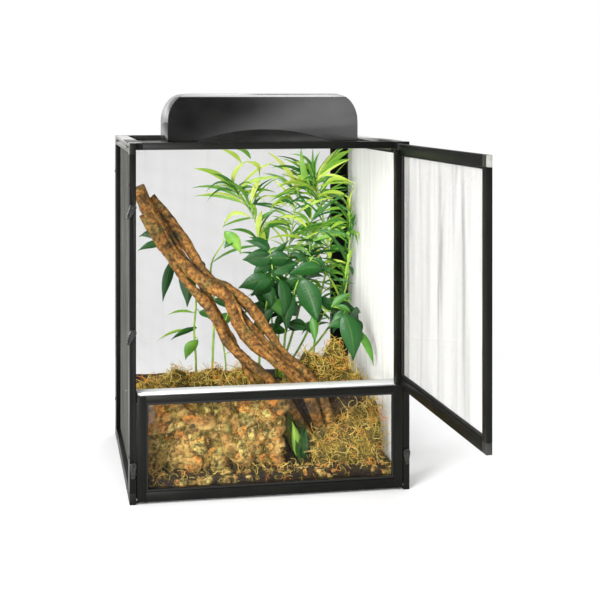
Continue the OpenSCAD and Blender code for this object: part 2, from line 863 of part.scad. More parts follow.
// Front and back panel, cut for the gland and the switch
module hood_panels() {
  color("#1c1c1b") difference() {
    hood_sheet();
    span([-hood_w, hood_y0 + flange_w, hood_z - 1],
         [hood_w, hood_y1 - flange_w, hood_top + 1]);
    translate([gland_x, hood_y1 - hood_wall - 1, gland_z]) rotate([-90, 0, 0])
      cylinder(r = gland_r + fit_slack, h = hood_wall + 2);
    span([switch_x - bezel_out_w / 2 - fit_slack, hood_y1 - hood_wall - 1,
          switch_z - bezel_out_h / 2 - fit_slack],
         [switch_x + bezel_out_w / 2 + fit_slack, hood_y1 + 1,
          switch_z + bezel_out_h / 2 + fit_slack]);
  }
}

// The two rounded ends between the panels, each with a fixing tab
module hood_ends() {
  color("#1c1c1b") both_sides() {
    intersection() {
      hood_sheet();
      span([-hood_w, hood_y0 + flange_w, hood_z - 1],
           [-hood_x, hood_y1 - flange_w, hood_top + 1]);
    }
    span([-hood_w / 2 - tab_w, hood_y0 + flange_w, hood_z],
         [-hood_w / 2 + hood_wall, hood_y0 + flange_w + tab_d, hood_z + flange_t]);
  }
}

module hood_top() {
  color("#1c1c1b") intersection() {
    hood_sheet();
    span([-hood_x, hood_y0 + flange_w, hood_z + flange_t + 1],
         [hood_x, hood_y1 - flange_w, hood_top + 1]);
  }
}

// Blank arched plate on the hood's front
module hood_arch_plate() {
  arch_r = (plate_w * plate_w / 4 + plate_h * plate_h) / (2 * plate_h);
  color("#161616") translate([0, hood_y0, hood_z + 2]) rotate([90, 0, 0])
    linear_extrude(plate_t) intersection() {
      translate([0, plate_h - arch_r]) circle(r = arch_r, $fn = 180);
      translate([-plate_w, 0]) square([2 * plate_w, plate_h + 1]);
    }
}

reflector_w = hood_w - 2 * hood_corner_w - 16;
reflector_top = hood_h - hood_wall;

module reflector_section(t) {
  i = hood_wall + 4;
  polygon([[hood_y0 + i + t, reflector_z - t], [hood_y0 + i + 22 + t * 0.4, reflector_top - t],
           [hood_y1 - i - 22 - t * 0.4, reflector_top - t], [hood_y1 - i - t, reflector_z - t]]);
}

module hood_reflector() {
  color("#e4e4e2") translate([-reflector_w / 2, 0, hood_z]) rotate([90, 0, 90])
    linear_extrude(reflector_w) difference() {
      reflector_section(0);
      reflector_section(reflector_t);
    }
}

socket_x0 = -hood_w / 2 + hood_wall;      // inner face of the hood's left wall

// Sockets on short brackets, which meet the wall below its rounded corner
module lamp_sockets() {
  color("#eceae4") both_sides() {
    translate([socket_x0 + bracket_l, hood_mid_y, hood_z + lamp_z]) rotate([0, 90, 0])
      difference() {
        cylinder(r = socket_r, h = socket_l);
        translate([0, 0, socket_l - cap_l - 1]) cylinder(r = cap_r + 0.2, h = cap_l + 2);
      }
    span([socket_x0, hood_mid_y - socket_r * 0.7, hood_z + lamp_z - socket_r * 0.65],
         [socket_x0 + bracket_l, hood_mid_y + socket_r * 0.7,
          hood_z + min(lamp_z, hood_h - hood_corner_h)]);
  }
}

module lamps() {
  neck = lamp_r * 0.7;
  color("#f4f2ea") both_sides()
    translate([socket_x0 + bracket_l + socket_l - cap_l, hood_mid_y, hood_z + lamp_z])
      rotate([0, 90, 0]) rotate_extrude() polygon(concat(
        [[0, 0], [cap_r, 0], [cap_r, cap_l], [neck, cap_l + 0.3], [lamp_r, cap_l + 14],
         [lamp_r, cap_l + lamp_l - lamp_r]],
        [for (i = [1:9]) [lamp_r * cos(i * 10), cap_l + lamp_l - lamp_r + lamp_r * sin(i * 10)]]));
}

module hood_feet() {
  color("#222222") both_sides() for (y = [hood_y0 + flange_w / 2, hood_y1 - flange_w / 2])
    translate([-hood_w / 2 + flange_w / 2, y, hood_z - foot_h]) cylinder(r = foot_r, h = foot_h);
}

module cable_gland() {
  color("#1a1a1a") translate([gland_x, hood_y1, gland_z]) rotate([-90, 0, 0]) difference() {
    union() {
      translate([0, 0, -hood_wall - gland_in]) cylinder(r = gland_r, h = hood_wall + gland_in + 1);
      cylinder(r = gland_r + 2.5, h = gland_out);
    }
    translate([0, 0, -hood_wall - gland_in - 1])
      cylinder(r = cable_r, h = hood_wall + gland_in + gland_out + 2);
  }
}

bezel_out_w = switch_w + 2 * bezel_wall + 0.6;
bezel_out_h = switch_h + 2 * bezel_wall + 0.8;
rocker_pin_r = 1.2;
rocker_y = hood_y1 - 2;

// Box behind the wall with a rim on the outside; the rocker's stub pins turn in its sides
module switch_bezel() {
  color("#141414") difference() {
    union() {
      span([switch_x - bezel_out_w / 2, hood_y1 - bezel_depth, switch_z - bezel_out_h / 2],
           [switch_x + bezel_out_w / 2, hood_y1 + 1, switch_z + bezel_out_h / 2]);
      span([switch_x - bezel_out_w / 2 - 2, hood_y1, switch_z - bezel_out_h / 2 - 2],
           [switch_x + bezel_out_w / 2 + 2, hood_y1 + 1.6, switch_z + bezel_out_h / 2 + 2]);
    }
    span([switch_x - switch_w / 2 - 0.3, hood_y1 - bezel_depth + 1.5, switch_z - switch_h / 2 - 0.4],
         [switch_x + switch_w / 2 + 0.3, hood_y1 + 3, switch_z + switch_h / 2 + 0.4]);
    translate([switch_x - switch_w / 2 - 1.3, rocker_y, switch_z]) rotate([0, 90, 0])
      cylinder(r = rocker_pin_r + fit_slack, h = switch_w + 2.6);
  }
}

module switch_rocker() {
  color("#a01818") translate([switch_x, rocker_y, switch_z]) rotate([switch_tilt, 0, 0]) {
    rotate([90, 0, 90]) translate([0, 0, -switch_w / 2]) linear_extrude(switch_w)
      polygon([[-3, -switch_h / 2 + 1.2], [3.4, -switch_h / 2 + 0.3], [2.6, 0],
               [3.4, switch_h / 2 - 0.3], [-3, switch_h / 2 - 1.2]]);
    translate([-switch_w / 2 - 1, 0, 0]) rotate([0, 90, 0])
      cylinder(r = rocker_pin_r, h = switch_w + 2);
  }
}

// ---- furnishings ----

module soil() {
  color("#3b2a1c") translate([-rail_x, 0, 0]) rotate([90, 0, 90]) linear_extrude(2 * rail_x)
    polygon([[front_in_y, floor_t], [front_in_y, soil_z], [bed_y, soil_z],
             [bed_y, bed_z], [back_in_y, bed_z], [back_in_y, floor_t]]);
}

// One rounded lump
module lump(p, r) {
  hull() translate(p) resize(2 * r) sphere(r = 1, $fn = 14);
}

// Cork bark: overlapping slabs of bark between the pane and the raised bed
module cork_bark() {
  x0 = bark_x0;
  h = bark_top - soil_z;
  d = bark_y1 - bark_y0;
  color("#6b5a41") intersection() {
    span([x0, bark_y0, soil_z], [x0 + bark_w, bark_y1, bark_top]);
    union() for (i = [0:5], k = [0:1])
      lump([x0 + bark_w * (i + 0.4 + 0.25 * k) / 6, bark_y0 + d * (0.5 + 0.09 * sin(137 * (i + 2 * k))),
            soil_z + h * (0.28 + 0.46 * k)],
           [bark_w * 0.12, d * 0.54, h * (0.34 + 0.05 * cos(211 * i))]);
  }
}

// A bank of moss: two staggered rows of lumps on a flat seat, kept inside a box
module moss_bank(a, b, n, seed) {
  size = b - a;
  intersection() {
    span(a, b);
    union() for (i = [0:n - 1], k = [0, 1])
      lump([a[0] + size[0] * (i + 0.25 + 0.5 * k) / n, a[1] + size[1] * (0.33 + 0.34 * k),
            a[2] + 2],
           [size[0] / n * 0.72, size[1] * 0.36,
            size[2] * (0.78 + 0.18 * sin(seed + 97 * (i + 2 * k)))]);
  }
}

module moss() {
  color("#8f8226") {
    moss_bank([-rail_x + 1, bed_y + skip, bed_z],
              [rail_x * 0.03, moss_y1, bed_z + moss_h * 0.825], 4, 20);
    moss_bank([rail_x * 0.055, bed_y + skip, bed_z],
              [rail_x * 0.36, moss_y1, bed_z + moss_h * 0.425], 2, 10);
    moss_bank([rail_x * 0.38, bed_y + skip, bed_z],
              [rail_x - 1, moss_y1, bed_z + moss_h], 3, 140);
    moss_bank([low_x + low_half + 1, bark_y0, soil_z],
              [rail_x - 2, bark_y1, bark_top + 3], 3, 70);
  }
}

function bezier(p, t) = pow(1 - t, 3) * p[0] + 3 * pow(1 - t, 2) * t * p[1]
  + 3 * (1 - t) * t * t * p[2] + pow(t, 3) * p[3];

// Shares of the inner half width and of the cage's height
vine_ends = [[-0.892 * in_x, 0, 0.894 * cage_h], [-0.773 * in_x, 0, 0.591 * cage_h],
             [-0.103 * in_x, 0, 0.591 * cage_h], [0.629 * in_x, 0, soil_z - 4]];

// Driftwood vines: strands that twist round one falling curve
module vines() {
  steps = 15;
  color("#7a4c22") intersection() {
    span([-in_x + 1, bark_y1 + 1, soil_z], [in_x, bed_y - skip, cage_h]);
    union() for (s = [0:2], i = [0:steps - 1]) hull() for (j = [i, i + 1]) {
      t = j / steps;
      a = 360 * twist_n * t + 120 * s;
      translate(bezier(vine_ends, t) + [twist_r * cos(a), vine_y + twist_r * sin(a),
                                        twist_r * cos(a) * 0.6])
        sphere(r = vine_r - 1.1 * s, $fn = 10);
    }
  }
}

// A flat pointed leaf along +X, lying in the XY plane
module blade(l, w, t = 1.2) {
  translate([0, 0, -t / 2]) linear_extrude(t)
    polygon([[0, -t / 2], [l * 0.25, -w / 2], [l * 0.55, -w * 0.46], [l, 0],
             [l * 0.55, w * 0.46], [l * 0.25, w / 2], [0, t / 2]]);
}

// A bent stem of short rods through the points of a cubic curve
module stem(p, r, steps = 6) {
  for (i = [0:steps - 1]) hull() for (j = [i, i + 1])
    translate(bezier(p, j / steps)) sphere(r = r, $fn = 8);
}

// A palm frond: a curved rib with pairs of slender leaflets
module frond(p, pairs, lean) {
  stem(p, stem_r);
  for (i = [1:pairs]) {
    t = 0.35 + 0.65 * i / pairs;
    q = bezier(p, t);
    d = bezier(p, min(1, t + 0.05)) - bezier(p, t - 0.05);
    az = atan2(d[2], d[0]);
    for (s = [-1, 1]) translate(q) rotate([0, -az, 0]) rotate([lean * s, 0, 0])
      rotate([0, -s * (52 - 26 * t), 0]) rotate([90, 0, 0])
        blade(leaflet_l * (1.15 - 0.6 * t), leaflet_w);
  }
}

air_h = roof_z - 3 - bed_z;        // height of the space for plants

// A place among the plants: x in shares of the half width, z in shares of the height
function spot(x, y, z) = [x * plant_x, y, bed_z + z * air_h];

module palm() {
  root = spot(0.32, palm_y, 0);
  fore = palm_y - frond_lean;
  color("#7fae35") intersection() {
    span([-plant_x, lane_y1 + skip, bed_z], [plant_x, back_in_y - skip, roof_z - 3]);
    union() {
      frond([root, spot(0.38, palm_y, 0.38), spot(0.43, palm_y, 0.85),
             spot(0.63, fore, 0.95)], 12, 8);
      frond([root, spot(0.43, palm_y, 0.31), spot(0.7, palm_y, 0.62),
             spot(0.92, fore, 0.78)], 12, -8);
      frond([root, spot(0.27, palm_y, 0.38), spot(0.21, palm_y, 0.78),
             spot(0.01, palm_y + frond_lean, 0.96)], 12, 6);
      frond([root, spot(0.21, palm_y, 0.31), spot(-0.11, palm_y, 0.62),
             spot(-0.52, palm_y, 0.93)], 12, -6);
      frond([root, spot(0.43, palm_y, 0.15), spot(0.64, palm_y, 0.33),
             spot(0.85, fore, 0.49)], 8, 5);
    }
  }
}

// A broad-leaved climber: a stem with leaves set round it at the golden angle
module leafy_stem(p, n, l) {
  stem(p, stem_r + 0.2, 8);
  for (i = [1:n]) {
    t = 0.4 + 0.6 * i / n;
    translate(bezier(p, t)) rotate([0, -(137.5 * i) % 360, 0])
      rotate([70 + 25 * sin(77 * i), 0, 0]) blade(l * (0.8 + 0.3 * sin(50 * i)), l * 0.42);
  }
}

broad_y = (bed_y + moss_y1) / 2;
stem_y = (moss_y1 + lane_y1) / 2;
over_moss = bed_z + moss_h + 4;

// A stem from the bed at x0 to x1 and z1, all in shares as in spot
module climber(x0, x1, z1, n) {
  leafy_stem([spot(x0, stem_y, -0.005), spot(x0, stem_y, 0.29),
              spot((x0 + x1) / 2, broad_y, z1 - 0.15), spot(x1, broad_y, z1)], n, leaf_l);
}

module broadleaf_plant() {
  color("#2f6b22") intersection() {
    union() {
      span([-plant_x, bed_y + 2, over_moss], [plant_x, lane_y1, roof_z - 3]);
      span([-plant_x, moss_y1 + skip, bed_z], [plant_x, lane_y1, roof_z - 3]);
    }
    union() {
      climber(0.27, 0.11, 0.55, 9);
      climber(0.4, 0.63, 0.49, 8);
      climber(-0.38, -0.75, 0.74, 9);
      climber(0.75, 0.85, 0.42, 5);
    }
  }
}

module low_plant() {
  y0 = (bark_y0 + bark_y1) / 2;
  color("#2f6b22") intersection() {
    span([low_x - low_half, bark_y0, soil_z], [low_x + low_half, bark_y1, soil_z + low_plant_h]);
    leafy_stem([[low_x, y0, soil_z - 2], [low_x - low_half / 4, y0, soil_z + low_plant_h * 0.33],
                [low_x + low_half / 4, y0, soil_z + low_plant_h * 0.58],
                [low_x, y0, soil_z + low_plant_h * 0.83]], 8, leaf_l * 0.65);
  }
}

post_front_left();
post_front_right();
posts_back();
top_rail_front();
top_rail_back();
top_rails_side();
base_rails_across();
base_rails_side();
mid_rail();
sill_strip();
floor_sheet();
corner_blocks_top();
corner_blocks_bottom();
screen_left();
screen_right();
screen_back();
screen_roof();
screen_splines();
frame_screws();
hinge_brackets();
hinge_pins();
front_screws();
soil();
cork_bark();
moss();
vines();
palm();
broadleaf_plant();
low_plant();
door_hinge_stile();
door_latch_stile();
door_top_rail();
door_bottom_rail();
door_corner_caps();
door_screen();
door_spline();
door_hinge_leaves();
door_leaf_screws();
lower_stiles();
lower_top_rail();
lower_bottom_rail();
lower_pane();
lower_bead();
lower_pivot_pins();
main_clip_upper();
main_clip_lower();
lower_clip_left();
lower_clip_right();
hood_panels();
hood_ends();
hood_top();
hood_arch_plate();
hood_reflector();
lamp_sockets();
lamps();
hood_feet();
cable_gland();
switch_bezel();
switch_rocker();
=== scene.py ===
# %% [markdown]
# # A screened terrarium, dressed for a photograph
# The object is a small cage for a climbing reptile: a black profile frame, walls and a door of
# fine wire mesh, a clear lower door, four turn clips, a glossy lamp hood on the mesh roof, and
# moss, bark, vines and leaves inside. The CAD model comes in first as a fixed frame in metres.
# It could be painted and left at that, but flat solids look like a drawing. So the CAD gives
# every place and size, and each piece is then modelled again, or given finer edges, here.

# %% Load the fixed frame
import json
import math
import random

import bpy
import numpy as np
from mathutils import Matrix, Vector

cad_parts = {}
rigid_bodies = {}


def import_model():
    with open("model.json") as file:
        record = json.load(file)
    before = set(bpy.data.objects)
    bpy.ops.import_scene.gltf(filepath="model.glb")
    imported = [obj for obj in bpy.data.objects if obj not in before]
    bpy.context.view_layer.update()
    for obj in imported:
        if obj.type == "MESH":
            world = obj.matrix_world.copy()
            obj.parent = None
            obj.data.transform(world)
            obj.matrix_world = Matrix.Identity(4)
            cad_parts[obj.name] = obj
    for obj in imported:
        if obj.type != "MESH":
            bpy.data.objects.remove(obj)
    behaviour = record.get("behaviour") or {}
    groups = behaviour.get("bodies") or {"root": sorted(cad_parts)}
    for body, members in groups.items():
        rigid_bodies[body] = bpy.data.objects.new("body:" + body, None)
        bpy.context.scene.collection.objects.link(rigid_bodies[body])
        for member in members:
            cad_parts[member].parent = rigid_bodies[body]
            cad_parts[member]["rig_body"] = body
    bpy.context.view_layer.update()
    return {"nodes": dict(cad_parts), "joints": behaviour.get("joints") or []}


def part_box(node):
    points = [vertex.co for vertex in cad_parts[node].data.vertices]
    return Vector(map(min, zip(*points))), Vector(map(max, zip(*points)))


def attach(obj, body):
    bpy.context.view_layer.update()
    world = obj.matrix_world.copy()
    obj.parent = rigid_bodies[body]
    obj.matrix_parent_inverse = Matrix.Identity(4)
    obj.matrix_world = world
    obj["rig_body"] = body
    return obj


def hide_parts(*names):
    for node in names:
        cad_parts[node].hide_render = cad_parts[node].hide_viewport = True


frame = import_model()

MM = 0.001
bpy.ops.object.select_all(action="DESELECT")

# %% [markdown]
# ## Camera
# The photograph was taken from the left of the cage and a little above its top, with a long
# lens held level and cropped below its own middle. Tilting the camera down would make the
# posts lean, so the crop is given as a vertical shift of the lens, and the uprights stay upright.

# %% Place the camera
bpy.ops.object.camera_add(location=(-0.31479, -2.05242, 0.57154),
                          rotation=(math.radians(90 - 0.139), 0, math.radians(-10.865)))
camera = bpy.context.object
camera.name = "camera"
camera.data.sensor_width = 36
camera.data.lens = 78.654
camera.data.shift_y = -0.33136
bpy.context.scene.camera = camera
print("lens", camera.data.lens, "shift", camera.data.shift_y)

# %% [markdown]
# ## Small helpers for materials
# A material is a tree of nodes. One function adds any node and sets or links its sockets, so
# each finish below reads as a list of what it is made of. Colours are typed as sRGB hex, as in
# a paint program, and turned to the linear values that the renderer works with.

# %% Colour and node helpers
def linear(code):
    """An sRGB hex colour as linear red, green, blue and alpha."""
    parts = [int(code[i:i + 2], 16) / 255 for i in (1, 3, 5)]
    return (*[p / 12.92 if p <= 0.04045 else ((p + 0.055) / 1.055) ** 2.4 for p in parts], 1)


def add(tree, kind, inputs=None, stops=None, **settings):
    """Adds a node: inputs sets or links its sockets, stops colours a ramp, settings its choices."""
    made = tree.nodes.new("ShaderNode" + kind)
    for name, value in settings.items():
        setattr(made, name, value)
    for name, value in (inputs or {}).items():
        if isinstance(value, bpy.types.NodeSocket):
            tree.links.new(value, made.inputs[name])
        else:
            made.inputs[name].default_value = value
    for i, (place, code) in enumerate(stops or []):
        spots = made.color_ramp.elements
        spot = spots[i] if i < 2 else spots.new(place)
        spot.position, spot.color = place, linear(code)
    return made


def new_finish(name, **values):
    """A new material: returns it with its tree, its shader and its object coordinates."""
    material = bpy.data.materials.new(name)
    material.use_nodes = True
    tree = material.node_tree
    shader = tree.nodes["Principled BSDF"]
    for socket, value in values.items():
        shader.inputs[socket.replace("_", " ")].default_value = value
    return material, tree, shader, add(tree, "TexCoord").outputs["Object"]


def ranged(tree, value, start, end, low=0.0, high=1.0):
    """Maps a value from start...end to low...high."""
    return add(tree, "MapRange", {"Value": value, "From Min": start, "From Max": end,
                                  "To Min": low, "To Max": high}).outputs["Result"]


def maths(tree, operation, *values):
    """One Math node over its values."""
    return add(tree, "Math", dict(enumerate(values)), operation=operation).outputs[0]


def per_mm(size):
    """The scale that gives a noise pattern features of about this many millimetres."""
    return 1 / (size * MM)

# %% [markdown]
# ## A finish from two noises
# Real surfaces are never one flat value. A coarse noise drifts the colour and the gloss, and a
# fine one raises the grain. The same recipe, with its sizes in real millimetres, gives powder
# coat, moulded plastic and metal, and only the organic finishes need more.

# %% The shared recipe
def surface(name, stops, drift, gloss, grain, depth, stretch=(1, 1, 1), **values):
    """drift and grain are pattern sizes in mm, gloss the two ends of the roughness, depth in mm."""
    material, tree, shader, place = new_finish(name, **values)
    lay = add(tree, "Mapping", {"Vector": place, "Scale": stretch}).outputs["Vector"]
    cloud = add(tree, "TexNoise", {"Vector": lay, "Scale": per_mm(drift), "Detail": 4.0})
    colour = add(tree, "ValToRGB", {"Fac": cloud.outputs["Fac"]}, stops)
    shine = ranged(tree, cloud.outputs["Fac"], 0.3, 0.7, *gloss)
    fine = add(tree, "TexNoise", {"Vector": lay, "Scale": per_mm(grain), "Detail": 2.0})
    relief = add(tree, "Bump", {"Height": fine.outputs["Fac"], "Strength": 0.6,
                                "Distance": depth * MM})
    tree.links.new(colour.outputs["Color"], shader.inputs["Base Color"])
    tree.links.new(shine, shader.inputs["Roughness"])
    tree.links.new(relief.outputs["Normal"], shader.inputs["Normal"])
    return material

# %% [markdown]
# ## Finishes of the cage
# The profiles are extruded aluminium with a satin black powder coat: a faint orange peel about
# a millimetre across. The corner blocks are injection-moulded nylon, a little greyer. The sill
# is bare mill-finish aluminium with lines drawn along it by the die. The caps of the doors
# are charcoal and duller than the profiles between them. The top side rails and their corner
# blocks carry a clear glaze, so at a low angle they mirror the pale room and look cream.

# %% Make the cage finishes
powder_coat = surface("satin_powder_coat", [(0.3, "#0b0c0a"), (0.7, "#12130f")],
                      60, (0.3, 0.4), 1.1, 0.05, Specular_IOR_Level=0.11)
glazed_coat = surface("glazed_powder_coat", [(0.3, "#0b0c0a"), (0.7, "#12130f")],
                      60, (0.34, 0.42), 1.1, 0.03, Specular_IOR_Level=0.3, Coat_Weight=1.0,
                      Coat_Roughness=0.09, Coat_Tint=linear("#fff8e6"))
nylon = surface("moulded_nylon", [(0.3, "#0a0b09"), (0.7, "#10110f")],
                30, (0.42, 0.55), 0.5, 0.04, Specular_IOR_Level=0.13)
charcoal = surface("charcoal_abs", [(0.3, "#1a1b18"), (0.7, "#22231f")],
                   25, (0.38, 0.5), 0.5, 0.03)
light_grey_end = surface("light_grey_abs", [(0.3, "#85837f"), (0.7, "#9a9894")], 5, (0.4, 0.5), 0.5, 0.03)
mill_aluminium = surface("mill_aluminium", [(0.3, "#e8e9ea"), (0.7, "#fbfbfb")],
                         14, (0.3, 0.42), 0.8, 0.02, stretch=(0.04, 1, 1), Metallic=0.2)
vinyl = surface("ribbed_vinyl", [(0.3, "#0a0a09"), (0.7, "#121211")], 12, (0.55, 0.7), 1.2, 0.2,
                Specular_IOR_Level=0.3)
floor_sheet = surface("pressed_pvc_sheet", [(0.3, "#232322"), (0.7, "#2c2c2a")],
                      40, (0.45, 0.6), 0.9, 0.06)
print("cage finishes:", len(bpy.data.materials))

# %% [markdown]
# ## Finishes of the fittings
# Side screws are dull zinc, other screws and hinges blackened steel, and the hood is gloss ABS,
# whose slow waves of a few centimetres bend its reflections. Its plate is satin. Sockets are
# glazed ceramic, lamps opal glass, the reflector is bright rolled sheet and the feet are rubber.

# %% Make the fitting finishes
zinc = surface("zinc_plated_steel", [(0.3, "#5f5f5b"), (0.7, "#7c7c77")],
               6, (0.34, 0.48), 0.4, 0.02, Metallic=0.85)
black_steel = surface("blackened_steel", [(0.3, "#20201e"), (0.7, "#2e2e2b")],
                      8, (0.3, 0.45), 0.5, 0.03, Metallic=0.4)
bright_steel = surface("drawn_steel", [(0.3, "#b8b8b3"), (0.7, "#cfcfca")],
                       5, (0.22, 0.34), 0.4, 0.01, stretch=(1, 1, 0.05), Metallic=0.9)
gloss_black = surface("gloss_abs", [(0.3, "#050605"), (0.7, "#090a08")],
                      45, (0.16, 0.22), 38, 0.12, Coat_Weight=0.3, Coat_Roughness=0.08)
plate_black = surface("satin_abs", [(0.3, "#060705"), (0.7, "#0a0b09")], 25, (0.24, 0.3), 0.6, 0.02)
clip_nylon = surface("glossy_nylon", [(0.3, "#0b0c0a"), (0.7, "#121311")], 9, (0.2, 0.3), 0.7, 0.03)
reflector = surface("bright_rolled_sheet", [(0.3, "#dcdcd8"), (0.7, "#ecece8")],
                    30, (0.12, 0.2), 1.5, 0.03, stretch=(0.05, 1, 1), Metallic=0.95)
ceramic = surface("glazed_ceramic", [(0.3, "#e4dfd2"), (0.7, "#efebe0")],
                  18, (0.16, 0.26), 2.5, 0.05)
opal = surface("opal_glass", [(0.3, "#f0ece0"), (0.7, "#f8f5ea")], 20, (0.08, 0.14), 6, 0.02)
rubber = surface("black_rubber", [(0.3, "#181817"), (0.7, "#222220")], 4, (0.7, 0.85), 0.4, 0.05)
rocker_red = surface("red_polycarbonate", [(0.3, "#a51515"), (0.7, "#bb1d1a")],
                     6, (0.14, 0.22), 0.5, 0.01)
print("materials so far:", len(bpy.data.materials))

# %% [markdown]
# ## Clear acrylic
# The pane of the lower door is a 3 mm sheet of cast acrylic. Pure transmission would keep the
# lamps' light out of the chamber, as the renderer follows no light through glass to a lamp. So
# most of the pane is simply see-through by its alpha, and the rest is acrylic with its real
# index, whose faint rub marks show where light glances off it.

# %% Make the acrylic
acrylic, tree, shader, place = new_finish("clear_acrylic", Transmission_Weight=1.0, IOR=1.49,
                                          Alpha=0.09, Base_Color=linear("#f6fbf9"))
rub = add(tree, "Mapping", {"Vector": place, "Scale": (1, 1, 6)}).outputs["Vector"]
rubs = add(tree, "TexNoise", {"Vector": rub, "Scale": per_mm(60), "Detail": 6.0})
tree.links.new(ranged(tree, rubs.outputs["Fac"], 0.45, 0.8, 0.015, 0.09),
               shader.inputs["Roughness"])

# %% [markdown]
# ## Wire mesh, with painted shade outside and painted light inside
# The screens are woven of fine aluminium wire. Faces that look out of the cage are coloured dark
# as painted shade, and faces that look inward pale as painted light, so the plants stand before a
# bright wall. Each wire is real geometry, and each of its faces takes one of these two finishes by
# the side it looks to.
# Slow streaks run down the cloth where the weave is a little tighter.

# %% Make the two wire finishes
def wire_finish(name, stops, streak_mm, roughness, wave=0.5):
    """Wire whose tone wanders in long upright streaks; wave bends them sideways. The stops hold the
    brightness painted on for the side it dresses: painted light inside, painted shade outside.
    """
    material, tree, shader, place = new_finish(name, Roughness=roughness)
    tall = add(tree, "Mapping", {"Vector": place, "Scale": (1, 1, 0.09)}).outputs["Vector"]
    streaks = add(tree, "TexNoise", {"Vector": tall, "Scale": per_mm(streak_mm), "Detail": 3.0,
                                     "Distortion": wave})
    colour = add(tree, "ValToRGB", {"Fac": streaks.outputs["Fac"]}, stops)
    tree.links.new(colour.outputs["Color"], shader.inputs["Base Color"])
    return material


# Painted shade on the outer faces; painted light on the inner faces, brightest on the side screens,
# duller on the door and grey on the back and roof.
outer_wire_painted_shade = wire_finish("wire_outer_painted_shade", [(0.3, "#2a2b28"), (0.7, "#575853")], 9, 0.5)
side_wire_painted_light = wire_finish("wire_side_painted_light", [(0.3, "#e4e5dd"), (0.6, "#fdfef4")], 12, 0.55)
door_wire_painted_light = wire_finish("wire_door_painted_light", [(0.34, "#7c7b77"), (0.43, "#b9b8b4"),
                                              (0.6, "#cfcec9")], 34, 0.55, 0.9)
back_wire_painted_light = wire_finish("wire_back_painted_light", [(0.3, "#a3a3a3"), (0.7, "#bdbdbe")], 16, 0.55)
print("wire finishes made")

# %% [markdown]
# ## Living and dried finishes
# Leaves are waxy and never one green: a tint that each leaf carries as an attribute moves it
# along a ramp from yellow-green to dark. Moss, bark, vine and soil mix a coarse and a fine
# noise, because they are made of patches of many things. Their scales are real: fibres of a
# millimetre, lichen of a centimetre, cracks of a few millimetres.

# %% Make the organic finishes
def leaf_finish(name, stops, roughness, rib_light):
    """Waxy leaf: the tint attribute picks the green, veins run across the leaf from its UV map."""
    material, tree, shader, place = new_finish(name, Roughness=roughness)
    tint = add(tree, "Attribute", attribute_name="tint").outputs["Fac"]
    blotch = add(tree, "TexNoise", {"Vector": place, "Scale": per_mm(22), "Detail": 3.0})
    mixed = maths(tree, "MULTIPLY_ADD", blotch.outputs["Fac"], 0.35, tint)
    shade = maths(tree, "SUBTRACT", mixed, 0.17)
    colour = add(tree, "ValToRGB", {"Fac": shade}, stops)
    lie = add(tree, "UVMap", uv_map="leaf").outputs["UV"]
    across = add(tree, "SeparateXYZ", {"Vector": lie}).outputs["Y"]
    width = maths(tree, "ABSOLUTE", maths(tree, "SUBTRACT", across, 0.5))
    rib = ranged(tree, width, 0.01, 0.05, rib_light, 0.0)
    lit = add(tree, "Mix", {0: rib, 6: colour.outputs["Color"], 7: linear("#a9c45c")},
              data_type="RGBA").outputs[2]
    veins = add(tree, "TexWave", {"Vector": lie, "Scale": 5.0, "Distortion": 1.5})
    relief = add(tree, "Bump", {"Height": veins.outputs["Fac"], "Strength": 0.35,
                                "Distance": 0.3 * MM})
    tree.links.new(lit, shader.inputs["Base Color"])
    tree.links.new(relief.outputs["Normal"], shader.inputs["Normal"])
    return material


palm_leaf = leaf_finish("ribbon_leaf", [(0.0, "#1f5a1e"), (0.25, "#3f8a2c"), (0.5, "#84bc38"),
                                        (0.75, "#cbe650"), (1.0, "#eef68a")], 0.45, 0.35)
broad_leaf = leaf_finish("broad_leaf", [(0.0, "#123a18"), (0.4, "#235f22"), (0.7, "#5f9c30"),
                                        (1.0, "#b4d84c")], 0.42, 0.12)
stem_green = surface("green_stem", [(0.3, "#7fae3c"), (0.7, "#b4d458")], 9, (0.45, 0.6), 0.8, 0.05)
print("leaf finishes made")

# %% Make moss, bark, vine and soil
def matted(name, coarse, fine, sizes, roughness, depth, tinted=False):
    """Two ramps over two noises. Where tinted, each copy's tint moves along the first ramp."""
    material, tree, shader, place = new_finish(name, Roughness=roughness)
    patches = add(tree, "TexNoise", {"Vector": place, "Scale": per_mm(sizes[0]), "Detail": 5.0,
                                     "Roughness": 0.6})
    level = patches.outputs["Fac"]
    if tinted:
        tint = add(tree, "Attribute", attribute_name="tint").outputs["Fac"]
        level = maths(tree, "SUBTRACT", maths(tree, "MULTIPLY_ADD", tint, 0.6, level), 0.3)
    first = add(tree, "ValToRGB", {"Fac": level}, coarse).outputs["Color"]
    specks = add(tree, "TexNoise", {"Vector": place, "Scale": per_mm(sizes[1]), "Detail": 6.0,
                                    "Roughness": 0.7})
    second = add(tree, "ValToRGB", {"Fac": specks.outputs["Fac"]}, fine).outputs["Color"]
    both = add(tree, "Mix", {0: 1.0, 6: first, 7: second}, data_type="RGBA",
               blend_type="MULTIPLY").outputs[2]
    relief = add(tree, "Bump", {"Height": specks.outputs["Fac"], "Strength": 0.9,
                                "Distance": depth * MM})
    tree.links.new(both, shader.inputs["Base Color"])
    tree.links.new(relief.outputs["Normal"], shader.inputs["Normal"])
    return material


